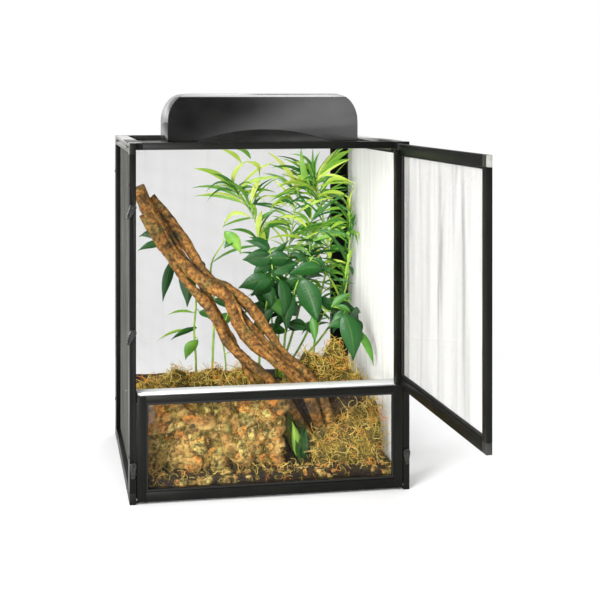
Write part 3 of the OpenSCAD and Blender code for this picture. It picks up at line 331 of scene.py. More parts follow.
moss_thread = matted("dried_moss_thread", [(0.1, "#75601e"), (0.3, "#b8a03a"),
                                           (0.46, "#ecd258"), (0.6, "#ffe88c"),
                                           (0.72, "#ffac40"), (0.95, "#ee8426")],
                     [(0.2, "#d0d0c0"), (0.6, "#ffffff")], (26, 3), 0.8, 0.2, tinted=True)
# The underlay has the moss's own brown, kept dark as painted shade for the depth among the threads.
moss_bed_painted_shade = matted("dark_moss_bed_painted_shade", [(0.3, "#2e2a10"), (0.5, "#6e5f20"), (0.66, "#a88a34"),
                                    (0.8, "#5c5a20")],
                  [(0.34, "#2c2a20"), (0.6, "#ffffff")], (16, 2.6), 0.95, 1.2)
bark_finish = matted("cork_bark", [(0.12, "#5a4e2c"), (0.3, "#c09a50"), (0.44, "#86803f"),
                                   (0.56, "#e4c878"), (0.68, "#c08c4c"), (0.8, "#ea9838"),
                                   (0.95, "#dade84")],
                     [(0.36, "#181208"), (0.46, "#b4aa90"), (0.58, "#ffffff")], (24, 6.0), 0.92,
                     1.6, tinted=True)
vine_finish = matted("vine_bark", [(0.3, "#4e4a22"), (0.42, "#80602a"), (0.52, "#c08a3e"),
                                   (0.62, "#726a34"), (0.74, "#ecb256")],
                     [(0.34, "#4a3a22"), (0.46, "#b09c7c"), (0.62, "#ffffff")], (30, 5), 0.74, 1.6)
soil_finish = matted("coconut_fibre_soil", [(0.3, "#20160d"), (0.6, "#3a2917"), (0.8, "#5a4226")],
                     [(0.3, "#5a5248"), (0.7, "#ffffff")], (9, 1.8), 0.95, 1.2)
print("all materials:", len(bpy.data.materials))

# %% [markdown]
# ## Helpers for modelling
# These do what one does by hand: select only one object, add and apply a modifier, and hand a
# finished piece over with its name, its finish, the body it moves with and what it stands for.

# %% Selection and hand-over helpers
def only(*objects):
    """Selects just these objects and makes the first one active."""
    bpy.ops.object.select_all(action="DESELECT")
    for thing in objects:
        thing.select_set(True)
    bpy.context.view_layer.objects.active = objects[0]


def modify(piece, kind, **settings):
    """Adds a modifier with its settings and applies it."""
    only(piece)
    modifier = piece.modifiers.new(kind.lower(), kind)
    for name, value in settings.items():
        setattr(modifier, name, value)
    bpy.ops.object.modifier_apply(modifier=modifier.name)


def merged(pieces):
    """Joins pieces into one object and returns it."""
    only(*pieces)
    if len(pieces) > 1:
        bpy.ops.object.join()
    return bpy.context.object


def hand_over(piece, name, body, slot, finish, *stands_for):
    """Settles a finished piece: its place, name, finish, body, and the nodes it replaces."""
    only(piece)
    bpy.ops.object.transform_apply(location=True, rotation=True, scale=True)
    piece.name = piece.data.name = name
    if finish:
        piece.data.materials.clear()
        piece.data.materials.append(finish)
    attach(piece, body)
    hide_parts(*stands_for)
    print(f"{name}: {len(piece.data.polygons)} faces on {body}")
    return piece

# %% [markdown]
# ## Machined pieces from their CAD solids
# A profile could be typed again as a box, but its holes and mitres are in the CAD already. A
# copy of the node's mesh is merged into clean faces, and its edges are rounded by a bevel as
# wide as the real one, because only a rounded edge catches the thin line of light that makes
# metal and plastic look solid.

# %% Copy a node, and round its edges
WELD = 2e-6  # metres: the CAD's triangles come loose, and corners nearer than this are one


def opened_copy(node):
    """A copy of a CAD node with its loose triangles joined, left open in edit mode."""
    piece = bpy.data.objects.new(node + "_piece", frame["nodes"][node].data.copy())
    bpy.context.scene.collection.objects.link(piece)
    only(piece)
    bpy.ops.mesh.customdata_custom_splitnormals_clear()
    bpy.ops.object.mode_set(mode="EDIT")
    bpy.ops.mesh.select_all(action="SELECT")
    bpy.ops.mesh.remove_doubles(threshold=WELD)
    return piece


def clean_copy(node):
    """A copy of a CAD node with its flat faces merged and its normals outward."""
    piece = opened_copy(node)
    bpy.ops.mesh.dissolve_limited(angle_limit=math.radians(0.5))
    bpy.ops.mesh.normals_make_consistent(inside=False)
    bpy.ops.object.mode_set(mode="OBJECT")
    return piece


def rounded(piece, edge, segments=2, angle=32):
    """Rounds a piece's edges by edge mm and shades it smooth."""
    modify(piece, "BEVEL", width=edge * MM, segments=segments, limit_method="ANGLE",
           angle_limit=math.radians(angle), use_clamp_overlap=True)
    only(piece)
    bpy.ops.object.shade_smooth_by_angle(angle=math.radians(38))
    return piece


def cut_away(piece, middle, size):
    """Cuts a block of a size out of a piece, both in metres."""
    bpy.ops.mesh.primitive_cube_add(size=1, scale=size, location=middle)
    cutter = bpy.context.object
    modify(piece, "BOOLEAN", operation="DIFFERENCE", object=cutter, solver="EXACT")
    bpy.data.objects.remove(cutter)


def painted(piece, plain, special, chosen):
    """Gives the faces that chosen(middle, normal) picks the special finish, the rest the plain."""
    piece.data.materials.clear()
    piece.data.materials.append(plain)
    piece.data.materials.append(special)
    for face in piece.data.polygons:
        face.material_index = int(chosen(face.center, face.normal))


def body_of_node(node):
    """The CAD body that a node belongs to."""
    return frame["nodes"][node]["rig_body"]

# %% Frame, doors, hood and fittings as rounded pieces
machined = {
    "frame_paint": (powder_coat, 0.7, ["post_front_left", "post_front_right", "posts_back",
                    "top_rail_front", "top_rail_back", "base_rails_across", "base_rails_side",
                    "mid_rail", "door_hinge_stile", "door_latch_stile", "door_top_rail",
                    "door_bottom_rail", "lower_stiles", "lower_top_rail", "lower_bottom_rail"]),
    "block_plastic": (nylon, 0.8, ["corner_blocks_bottom"]),
    "bare_aluminium": (mill_aluminium, 0.25, ["sill_strip"]),
    "spline_vinyl": (vinyl, 0.4, ["screen_splines", "door_spline", "lower_bead"]),
    "hinge_steel": (black_steel, 0.2, ["hinge_brackets", "door_hinge_leaves"]),
    "pin_steel": (bright_steel, 0.15, ["hinge_pins", "lower_pivot_pins"]),
    "floor_plastic": (floor_sheet, 0.4, ["floor_sheet"]),
    "clear_acrylic": (acrylic, 0.3, ["lower_pane"]),
    "clip_plastic": (clip_nylon, 0.5, ["main_clip_upper", "main_clip_lower", "lower_clip_left",
                     "lower_clip_right"]),
    "plate_black": (plate_black, 0.55, ["hood_arch_plate"]),
    "reflector_sheet": (reflector, 0.15, ["hood_reflector"]),
    "socket_ceramic": (ceramic, 0.8, ["lamp_sockets"]),
    "foot_rubber": (rubber, 0.5, ["hood_feet"]),
    "gland_nylon": (nylon, 0.4, ["cable_gland", "switch_bezel"]),
    "rocker_red": (rocker_red, 0.3, ["switch_rocker"]),
    "lamp_glass": (opal, 0.3, ["lamps"]),
}
for slot, (finish, edge, names) in machined.items():
    for name in names:
        hand_over(rounded(clean_copy(name), edge), name + "_piece", body_of_node(name), slot,
                  finish, name)

# %% [markdown]
# ## Corner pieces
# In the photograph the corners of the opening are clean: post and rail meet without a step. The
# CAD's corner blocks reach into the opening there, so two small blocks are cut from each. The
# foot of the left side rail also showed in that corner, and is cut off too. The right rail keeps
# its foot, which the photograph shows as a dark wedge. The end of the door's free top cap that
# meets the latch is light grey.

# %% Trim the corner blocks and dress the door's caps
in_opening = (((0.187, -0.2, 0.5), (0.014, 0.014, 0.04)),
              ((0.187, -0.18, 0.488), (0.014, 0.06, 0.02)))
blocks = clean_copy("corner_blocks_top")
for (x, y, z), size in in_opening:
    for side in (-1, 1):
        cut_away(blocks, (side * x, y, z), size)
rounded(blocks, 0.7)
painted(blocks, nylon, glazed_coat, lambda middle, normal: abs(middle.x) > 0.2
        and abs(normal.x) > 0.9 or normal.z > 0.9 and abs(middle.x) > 0.185)
hand_over(blocks, "corner_blocks_top_piece", "frame", "block_plastic", None, "corner_blocks_top")

rail_foot = ((-0.18875, 0, 0.4955), (0.0115, 0.35, 0.005))
side_rails = clean_copy("top_rails_side")
cut_away(side_rails, *rail_foot)
hand_over(rounded(side_rails, 0.7), "top_rails_side_piece", "frame", "frame_paint", glazed_coat,
          "top_rails_side")

caps = rounded(clean_copy("door_corner_caps"), 0.9)
# The front-facing end of the upper cap is light grey, the rest charcoal.
painted(caps, charcoal, light_grey_end, lambda middle, normal: normal.y < -0.9 and middle.y < -0.58
        and middle.z > 0.48)
hand_over(caps, "door_corner_caps_piece", "main_door", "cap_plastic", None, "door_corner_caps")

# %% [markdown]
# ## The hood
# The real hood is one glossy moulding: front and back panels run into rounded ends and a flat
# top. In CAD it is cut into simple solids, so the cuts would show as seams. The three nodes are
# united here by Booleans. Then only the outer rims are rounded, widely, because that round
# edge draws the bright band and the thin lines at the hood's ends.

# %% Join the hood into one moulding and round its rims
hood = clean_copy("hood_panels")
for name in ("hood_ends", "hood_top"):
    part = clean_copy(name)
    modify(hood, "BOOLEAN", operation="UNION", object=part, solver="EXACT")
    bpy.data.objects.remove(part)
hood_low, hood_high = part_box("hood_panels")
LEAN = 8 * MM  # how far the front and back panels lean in, from foot to top
only(hood)
bpy.ops.object.mode_set(mode="EDIT")
bpy.ops.mesh.select_mode(type="EDGE")
bpy.ops.mesh.select_all(action="SELECT")
bpy.ops.mesh.remove_doubles(threshold=1e-5)
bpy.ops.mesh.dissolve_limited(angle_limit=math.radians(0.5))
bpy.ops.mesh.select_all(action="DESELECT")
bpy.ops.mesh.edges_select_sharp(sharpness=math.radians(25))
bpy.ops.object.mode_set(mode="OBJECT")
for edge in hood.data.edges:
    ends = [hood.data.vertices[i].co for i in edge.vertices]
    on_face = any(all(abs(end.y - y) < 1e-5 and end.z > hood_low.z + 3 * MM for end in ends)
                  for y in (hood_low.y, hood_high.y))
    on_top = any(all(abs(end.y - y) < 2e-4 and end.z > hood_high.z - 1e-5 for end in ends)
                 for y in (hood_low.y + LEAN, hood_high.y - LEAN))
    edge.select = edge.select and (on_face or on_top)
for part in (hood.data.vertices, hood.data.polygons):
    part.foreach_set("select", [False] * len(part))
print("hood rim edges:", sum(edge.select for edge in hood.data.edges))
bpy.ops.object.mode_set(mode="EDIT")
bpy.ops.mesh.bevel(offset=3.2 * MM, segments=5, profile=0.5, clamp_overlap=True)
bpy.ops.mesh.select_mode(type="VERT")
bpy.ops.object.mode_set(mode="OBJECT")
bpy.ops.object.shade_smooth_by_angle(angle=math.radians(30))
hand_over(hood, "hood_moulding", "hood", "hood_gloss", gloss_black,
          "hood_panels", "hood_ends", "hood_top")

# %% [markdown]
# ## The wire mesh
# A screen could be one flat sheet with a see-through pattern, but only real wires hide what is
# behind them at a low angle, as the side screens do here. One wire is a thin four-sided rod;
# an Array repeats it across the panel, and the cross wires are laid against it. The wires are
# too fine to count in the photograph, so their pitch and thickness are guesses.

# %% Weave a panel
PITCH, WIRE = 1.8 * MM, 0.17 * MM


def row_of_wires(middle, along, across, length, width):
    """Wires of one direction: each lies along one axis, and they repeat across another."""
    turn = {0: (0, math.pi / 2, 0), 1: (math.pi / 2, 0, 0), 2: (0, 0, 0)}[along]
    count = int(width / PITCH)
    start = Vector(middle)
    start[across] -= (count - 1) * PITCH / 2
    bpy.ops.mesh.primitive_cylinder_add(vertices=4, radius=WIRE, depth=length, location=start,
                                        rotation=turn)
    wires = bpy.context.object
    bpy.ops.object.transform_apply(location=False, rotation=True, scale=True)
    step = [0.0, 0.0, 0.0]
    step[across] = PITCH
    modify(wires, "ARRAY", count=count, use_relative_offset=False, use_constant_offset=True,
           constant_offset_displace=step)
    return wires


def woven(low, high):
    """A panel of crossed wires that fills the thin box between two corners."""
    size, middle = high - low, (high + low) / 2
    flat = min(range(3), key=lambda axis: size[axis])
    one, two = [axis for axis in range(3) if axis != flat]
    lift = Vector([WIRE if axis == flat else 0 for axis in range(3)])
    warp = row_of_wires(middle + lift, one, two, size[one], size[two])
    weft = row_of_wires(middle - lift, two, one, size[two], size[one])
    return merged([warp, weft])


def lit_and_shaded_faces(piece, inward, outside, inside):
    """Gives the faces that look inward one finish, the painted light, and the others another, the
    painted shade.
    """
    painted(piece, outside, inside, lambda middle, normal: normal.dot(Vector(inward)) > 0)


# Inner faces take painted light, outer faces painted shade.
walls = {"screen_left": ((1, 0, 0), side_wire_painted_light), "screen_right": ((-1, 0, 0), side_wire_painted_light),
         "screen_back": ((0, -1, 0), back_wire_painted_light), "screen_roof": ((0, 0, -1), back_wire_painted_light)}
for name, (inward, pale) in walls.items():
    panel = woven(*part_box(name))
    lit_and_shaded_faces(panel, inward, outer_wire_painted_shade, pale)
    hand_over(panel, name + "_weave", "frame", "wire_mesh", None, name)

# %% [markdown]
# The door stands open, so its cloth is woven where the door is closed and then swung about the
# hinge by the angle that the record gives.

# %% Weave and swing the door's cloth
hinge = next(joint for joint in frame["joints"] if joint["name"] == "main_door_hinge")
pin = Matrix.Translation(Vector(hinge["pos_m"]))
swing = pin @ Matrix.Rotation(math.radians(-hinge["range_deg"][0]), 4, "Z") @ pin.inverted()
shut = [swing.inverted() @ vertex.co for vertex in frame["nodes"]["door_screen"].data.vertices]
shut_low = Vector([min(corner[axis] for corner in shut) for axis in range(3)])
shut_high = Vector([max(corner[axis] for corner in shut) for axis in range(3)])
door_cloth = woven(shut_low, shut_high)
# The door's inner faces take their own painted light, its outer faces the painted shade.
lit_and_shaded_faces(door_cloth, (0, 1, 0), outer_wire_painted_shade, door_wire_painted_light)
door_cloth.matrix_world = swing @ door_cloth.matrix_world
hand_over(door_cloth, "door_screen_weave", "main_door", "wire_mesh", None, "door_screen")

# %% [markdown]
# ## Screws
# Every screw head is the same: a low dome with a cross recess. It is modelled once, from a
# cylinder whose rim is bevelled, with the cross cut by a Boolean, and then copied to each place
# that the CAD solids give, facing out of the part it holds.

# %% Model one screw head
bpy.ops.mesh.primitive_cylinder_add(vertices=24, radius=1, depth=0.6, location=(0, 0, 0.3))
head = bpy.context.object
bpy.ops.object.transform_apply(location=True)
modify(head, "BEVEL", width=0.5, segments=4, limit_method="ANGLE", angle_limit=math.radians(60))
bars = []
for turned in (0, math.pi / 2):
    bpy.ops.mesh.primitive_cube_add(size=1, location=(0, 0, 0.55), rotation=(0, 0, turned),
                                    scale=(1.15, 0.26, 0.6))
    bars.append(bpy.context.object)
for bar in bars:
    modify(head, "BOOLEAN", operation="DIFFERENCE", object=bar, solver="EXACT")
    bpy.data.objects.remove(bar)
only(head)
bpy.ops.object.shade_smooth_by_angle(angle=math.radians(35))
print("one screw head:", len(head.data.polygons), "faces")

# %% Copy it to every screw of a node
def loose_boxes(node):
    """The middle and size of every separate solid in a CAD node."""
    opened_copy(node)
    bpy.ops.mesh.separate(type="LOOSE")
    bpy.ops.object.mode_set(mode="OBJECT")
    found = []
    for part in list(bpy.context.selected_objects):
        spots = np.array([vertex.co for vertex in part.data.vertices])
        found.append((Vector((spots.min(0) + spots.max(0)) / 2), Vector(np.ptp(spots, axis=0))))
        bpy.data.objects.remove(part)
    return found


def screws(node, outward, radius):
    """Screw heads with their shanks. The heads look outward, to the side that they are on."""
    made = []
    for middle, size in loose_boxes(node):
        way = Vector(outward)
        if way.x == 1:
            way.x = math.copysign(1, middle.x)
        length = max(size)
        seat = middle + way * (length / 2)
        copy = head.copy()
        copy.data = head.data.copy()
        bpy.context.scene.collection.objects.link(copy)
        tall = radius * 0.9
        copy.matrix_world = (Matrix.Translation(seat - way * tall * 0.6)
                             @ way.to_track_quat("Z", "Y").to_matrix().to_4x4()
                             @ Matrix.Rotation(random.uniform(0, math.pi), 4, "Z")
                             @ Matrix.Diagonal((radius, radius, tall, 1)))
        bpy.ops.mesh.primitive_cylinder_add(vertices=12, radius=radius * 0.5, depth=length * 0.8,
                                            location=middle - way * length * 0.08,
                                            rotation=way.to_track_quat("Z", "Y").to_euler())
        made += [copy, bpy.context.object]
    return merged(made)


random.seed(4)
out_of_door = swing.to_3x3() @ Vector((0, -1, 0))
for node, outward, radius, finish in (("frame_screws", (1, 0, 0), 2.6, zinc),
                                      ("front_screws", (0, -1, 0), 2.2, black_steel),
                                      ("door_leaf_screws", out_of_door, 1.52, black_steel)):
    hand_over(screws(node, outward, radius * MM), node + "_piece", body_of_node(node),
              "screw_steel", finish, node)
bpy.data.objects.remove(head)

# %% [markdown]
# ## Rods, leaves and threads
# Stems, vines and moss threads are round rods along a curve. Leaves and threads repeat in
# hundreds, so one of each is modelled with a few dozen faces, and every copy gets its own
# vertices: bent from its foot to its tip, turned a little, and tinted.

# %% Round rods along curves
def rods(paths, name, corners=1, steps=4):
    """One mesh of round rods. A path is a list of x, y, z and radius, all in mm."""
    bpy.ops.curve.primitive_bezier_curve_add()
    rod = bpy.context.object
    curve = rod.data
    curve.splines.clear()
    curve.bevel_depth, curve.bevel_resolution = MM, corners
    curve.resolution_u, curve.use_fill_caps = steps, True
    for path in paths:
        spline = curve.splines.new("BEZIER")
        spline.bezier_points.add(len(path) - 1)
        for point, (x, y, z, radius) in zip(spline.bezier_points, path):
            point.co = Vector((x, y, z)) * MM
            point.radius = radius
            point.handle_left_type = point.handle_right_type = "AUTO"
    only(rod)
    bpy.ops.object.convert(target="MESH")
    rod = bpy.context.object
    rod.name = name
    bpy.ops.object.mode_set(mode="EDIT")
    bpy.ops.mesh.select_all(action="SELECT")
    bpy.ops.mesh.remove_doubles(threshold=1e-6)
    bpy.ops.mesh.normals_make_consistent(inside=False)
    bpy.ops.object.mode_set(mode="OBJECT")
    bpy.ops.object.shade_smooth()
    return rod

# %% Many copies of one small shape
def many(template, shapes, tints, name):
    """One mesh of copies of a template: shapes holds each copy's vertex places, tints its tint."""
    source = template.data
    count = len(source.vertices)
    faces = [list(face.vertices) for face in source.polygons]
    places = np.concatenate(shapes)
    mesh = bpy.data.meshes.new(name)
    mesh.from_pydata(places.tolist(), [],
                     [[corner + count * i for corner in face]
                      for i in range(len(shapes)) for face in faces])
    tint = mesh.attributes.new("tint", "FLOAT", "POINT")
    tint.data.foreach_set("value", np.repeat(np.array(tints, np.float32), count))
    if source.uv_layers:
        flat = np.zeros(len(source.loops) * 2, np.float32)
        source.uv_layers[0].data.foreach_get("uv", flat)
        mesh.uv_layers.new(name="leaf").data.foreach_set("uv", np.tile(flat, len(shapes)))
    made = bpy.data.objects.new(name, mesh)
    bpy.context.scene.collection.objects.link(made)
    only(made)
    bpy.ops.object.shade_smooth()
    return made

# %% [markdown]
# ## One leaf
# A leaf starts as a flat grid one unit long. Each row across is narrowed to the outline of the
# real leaf, the middle is pressed down into a shallow fold, and a Solidify gives it two sides.

# %% Model a leaf
def leaf_model(name, outline, fold):
    """A leaf along X from 0 to 1; outline is its half width at even steps, fold its depth."""
    bpy.ops.mesh.primitive_grid_add(x_subdivisions=len(outline) - 1, y_subdivisions=2, size=1,
                                    location=(0.5, 0, 0))
    leaf = bpy.context.object
    bpy.ops.object.transform_apply(location=True)
    columns = sorted({round(vertex.co.x, 4) for vertex in leaf.data.vertices})
    for vertex in leaf.data.vertices:
        place = columns.index(round(vertex.co.x, 4)) / (len(columns) - 1) * (len(outline) - 1)
        width = float(np.interp(place, range(len(outline)), outline))
        vertex.co.y *= 2 * width
        vertex.co.z = fold * abs(vertex.co.y) * 2
    modify(leaf, "SOLIDIFY", thickness=0.009, offset=0)
    leaf.name = name
    print(name, "faces:", len(leaf.data.polygons))
    return leaf


ribbon = leaf_model("ribbon_leaf_model", [0.06, 0.3, 0.46, 0.5, 0.46, 0.36, 0.22, 0.02], 0.35)
broad = leaf_model("broad_leaf_model", [0.08, 0.34, 0.48, 0.5, 0.43, 0.3, 0.13, 0.01], 0.16)


def bent_leaf(template, base, tip, width, sag, roll, twist=0.0):
    """Vertex places of a leaf from base to tip, raised by sag in the middle and twisted along."""
    flat = np.array([vertex.co for vertex in template.data.vertices])
    base, tip = Vector(base) * MM, Vector(tip) * MM
    run = tip - base
    facing = Matrix.Rotation(roll, 3, run.normalized()) @ Vector((0, -1, 0))
    across = run.cross(facing).normalized()
    normal = across.cross(run).normalized()
    rise = (Vector((0, 0, 1)) - run.normalized() * run.normalized().z).normalized()
    u, v, w = flat[:, 0:1], flat[:, 1:2], flat[:, 2:3]
    bow = 4 * u * (1 - u)
    turned = twist * u
    flat_way = np.cos(turned) * np.array(across) + np.sin(turned) * np.array(normal)
    up_way = np.cos(turned) * np.array(normal) - np.sin(turned) * np.array(across)
    return (np.array(base) + u * np.array(run) + v * flat_way * width * MM
            + w * up_way * width * MM + bow * np.array(rise) * sag * MM)

# %% [markdown]
# ## Driftwood vines
# Strands of vine bark cross the cage from the upper left to the bed on the right and spread
# apart at the foot. Each is a rod whose radius swells at knots; a Displace with a cloudy texture
# roughens it. A row holds depth, the radii at both ends, and x and z along the strand.

# %% Lay the vine strands
vine_courses = [
    (-82, 10.5, 8.4, [(-184, 438), (-170, 408), (-155, 378), (-140, 348), (-116, 323), (-95, 302),
                     (-71, 286), (-49, 270), (-40, 250), (-29, 224), (-9, 199), (17, 177),
                     (43, 156), (63, 138), (84, 96), (96, 58), (108, 27)]),
    (-69, 8.4, 8.8, [(-163, 422), (-142, 395), (-116, 360), (-93, 323), (-74, 296), (-46, 281),
                     (-22, 262), (0, 238), (18, 211), (38, 181), (65, 154), (87, 132), (108, 86),
                     (124, 27)]),
    (-80, 7.4, 8.2, [(-174, 398), (-154, 361), (-135, 330), (-109, 292), (-83, 264), (-63, 232),
                     (-48, 202), (-22, 175), (3, 153), (26, 132), (52, 92), (74, 58), (90, 27)]),
    (-64, 5.4, 6.0, [(-149, 369), (-122, 332), (-93, 298), (-66, 250), (-38, 200), (-20, 162),
                     (-4, 134), (30, 90), (60, 27)]),
    (-71, 5.0, 7.6, [(-178, 430), (-150, 392), (-126, 352), (-100, 312), (-70, 288), (-42, 262),
                     (-18, 230), (4, 204), (28, 178), (50, 156), (72, 120), (92, 78), (112, 27)]),
    (-90, 2.6, 2.2, [(-184, 426), (-160, 402), (-132, 352), (-104, 306), (-62, 292), (-36, 262),
                     (-24, 232), (10, 192), (30, 172), (58, 136), (92, 60), (112, 27)]),
]


def strand(deep, top_radius, foot_radius, course, seed):
    """A knobby strand through x and z points, from its top to its foot, in mm."""
    random.seed(seed)
    last = len(course) - 1
    return [(x, deep + 5 * math.sin(0.8 * i + seed), z,
             (top_radius + (foot_radius - top_radius) * i / last) * random.uniform(0.84, 1.2))
            for i, (x, z) in enumerate(course)]


vine_rows = [strand(*course, seed) for seed, course in enumerate(vine_courses)]
vines = rods(vine_rows, "vines", corners=3, steps=7)
knots = bpy.data.textures.new("knots", "CLOUDS")
knots.noise_scale, knots.noise_depth = 12 * MM, 3
modify(vines, "DISPLACE", texture=knots, strength=4.6 * MM, mid_level=0.6,
       texture_coords="LOCAL")
hand_over(vines, "twisted_vines", "frame", "driftwood", vine_finish, "vines")

# %% [markdown]
# ## Ribbon-leaved plant
# The tall plant at the back right has long narrow leaves in tufts. The main ones are placed
# one by one along their stems, as x and z of foot and tip, and smaller ones fill between them.

# %% Grow the ribbon-leaved plant
random.seed(11)
stem_rows = [
    [(60, 110, 104, 2.0), (52, 108, 200, 1.8), (38, 104, 300, 1.5), (22, 102, 369, 1.2),
     (5, 100, 397, 1.1), (-16, 98, 422, 0.9)],
    [(62, 112, 104, 2.2), (88, 108, 180, 2.0), (105, 104, 255, 1.8), (117, 100, 338, 1.5),
     (119, 100, 412, 1.1), (124, 98, 440, 0.8)],
    [(64, 108, 104, 2.2), (104, 112, 160, 2.0), (134, 108, 237, 1.8), (147, 104, 320, 1.4),
     (132, 100, 400, 1.1), (126, 98, 436, 0.8)],
    [(66, 110, 104, 2.2), (128, 104, 160, 1.9), (170, 92, 236, 1.6), (180, 88, 310, 1.2),
     (180, 86, 378, 0.9)],
    [(60, 112, 104, 2.0), (66, 116, 190, 1.8), (76, 112, 270, 1.5), (84, 108, 340, 1.2),
     (95, 102, 409, 0.9)],
]
main_leaves = [
    (-16, 422, -80, 455, 12, 3), (-15, 422, 9, 468, 9, 4), (7, 466, 27, 441, 12, 3),
    (-1, 463, -32, 486, 9, 1), (14, 471, -11, 487, 9, 1), (33, 441, 13, 397, 10, 2),
    (7, 401, 23, 369, 10, 2), (18, 371, -31, 352, 8, 9), (33, 384, 26, 339, 11, 2),
    (36, 360, 38, 318, 9, 1), (95, 409, 39, 484, 11, 3), (115, 407, 97, 488, 13, -3),
    (118, 424, 118, 489, 6, 1), (120, 420, 104, 473, 7, 2), (127, 437, 133, 483, 6, 2),
    (127, 435, 190, 489, 10, 2), (123, 432, 178, 488, 9, 2), (127, 440, 165, 487, 8, 1),
    (138, 442, 184, 470, 9, 3), (133, 417, 184, 424, 9, 8), (127, 407, 181, 386, 9, 7),
    (182, 378, 180, 408, 7, 1), (180, 381, 182, 349, 9, 3), (105, 393, 118, 368, 13, 1),
    (134, 392, 125, 367, 13, 1), (113, 351, 60, 370, 8, 5), (76, 391, 43, 380, 9, 6),
    (135, 342, 179, 378, 10, 3), (147, 329, 176, 357, 10, 2), (33, 328, 30, 359, 12, 1),
    (43, 327, 50, 369, 8, 1), (75, 327, 70, 363, 6, 1), (117, 333, 80, 343, 8, 4),
    (149, 300, 140, 321, 9, 1), (130, 301, 127, 329, 10, 1),
]
shapes, tints = [], []
for x0, z0, x1, z1, width, sag in main_leaves:
    deep = 98 + random.uniform(-6, 6)
    shapes.append(bent_leaf(ribbon, (x0, deep, z0), (x1, deep + random.uniform(-14, 14), z1),
                            width * 0.86, sag * 2 + 2, random.uniform(-0.5, 0.5),
                            random.uniform(-0.9, 0.9)))
    tints.append(random.uniform(0.3, 0.95))
print("placed leaves:", len(shapes))

# %% Fill the stems with smaller leaves
def beside(path, share):
    """The point at a share of the way along a stem."""
    place = share * (len(path) - 1)
    i = min(int(place), len(path) - 2)
    return Vector(path[i][:3]).lerp(Vector(path[i + 1][:3]), place - i)


for path, count in zip(stem_rows, (34, 62, 74, 60, 56)):
    for i in range(count):
        share = random.uniform(0.34, 1)
        foot = beside(path, share)
        out = Vector((random.choice((-1, 1)) * random.uniform(0.5, 1), random.uniform(-0.5, 0.4),
                      random.uniform(-0.3, 0.9))).normalized()
        tip = foot + out * random.uniform(36, 92)
        tip.x, tip.y = min(tip.x, 188), min(max(tip.y, 62), 176)
        tip.z = min(tip.z, 489)
        shapes.append(bent_leaf(ribbon, foot, tip, random.uniform(3.4, 6.6),
                                random.uniform(4, 16), random.uniform(-0.8, 0.8),
                                random.uniform(-1.1, 1.1)))
        tints.append(random.uniform(0.0, 0.85) * (0.5 + 0.5 * share))
ribbon_leaves = many(ribbon, shapes, tints, "ribbon_leaves")
ribbon_leaves.data.materials.append(palm_leaf)
ribbon_stems = rods(stem_rows, "ribbon_stems", corners=2, steps=5)
ribbon_stems.data.materials.append(stem_green)
hand_over(merged([ribbon_leaves, ribbon_stems]), "ribbon_leaved_plant", "frame", "palm_leaf", None,
          "palm")

# %% [markdown]
# ## Broad-leaved climber
# A climber with dark heart-shaped leaves hangs round the vine and fills the middle. Each row
# holds foot and tip, width, depth and tint of one leaf, and a stalk joins it to its stem.

# %% Grow the climber
random.seed(23)
climber_stems = [
    [(-83, 42, 106, 1.6), (-83, 42, 155, 1.8), (-86, 38, 204, 1.7), (-84, 30, 244, 1.6),
     (-92, 10, 300, 1.4), (-112, -12, 334, 1.2), (-140, -20, 352, 1.0)],
    [(-56, 44, 106, 1.8), (-56, 42, 146, 1.9), (-54, 38, 219, 1.8), (-56, 26, 262, 1.6),
     (-62, 6, 310, 1.4), (-44, -6, 345, 1.1)],
    [(-35, 40, 106, 1.4), (-35, 40, 146, 1.4), (-40, 38, 196, 1.2), (-30, 34, 232, 1.0)],
    [(20, 42, 106, 2.0), (22, 42, 180, 2.0), (30, 30, 240, 1.8), (36, 10, 290, 1.5),
     (30, -4, 330, 1.2)],
    [(60, 44, 106, 2.0), (62, 42, 180, 2.0), (70, 30, 240, 1.8), (84, 10, 290, 1.5),
     (100, 0, 318, 1.2)],
    [(110, 42, 106, 2.0), (112, 42, 180, 1.9), (120, 20, 220, 1.7), (132, -20, 240, 1.4),
     (146, -44, 232, 1.2), (156, -52, 212, 1.0)],
]
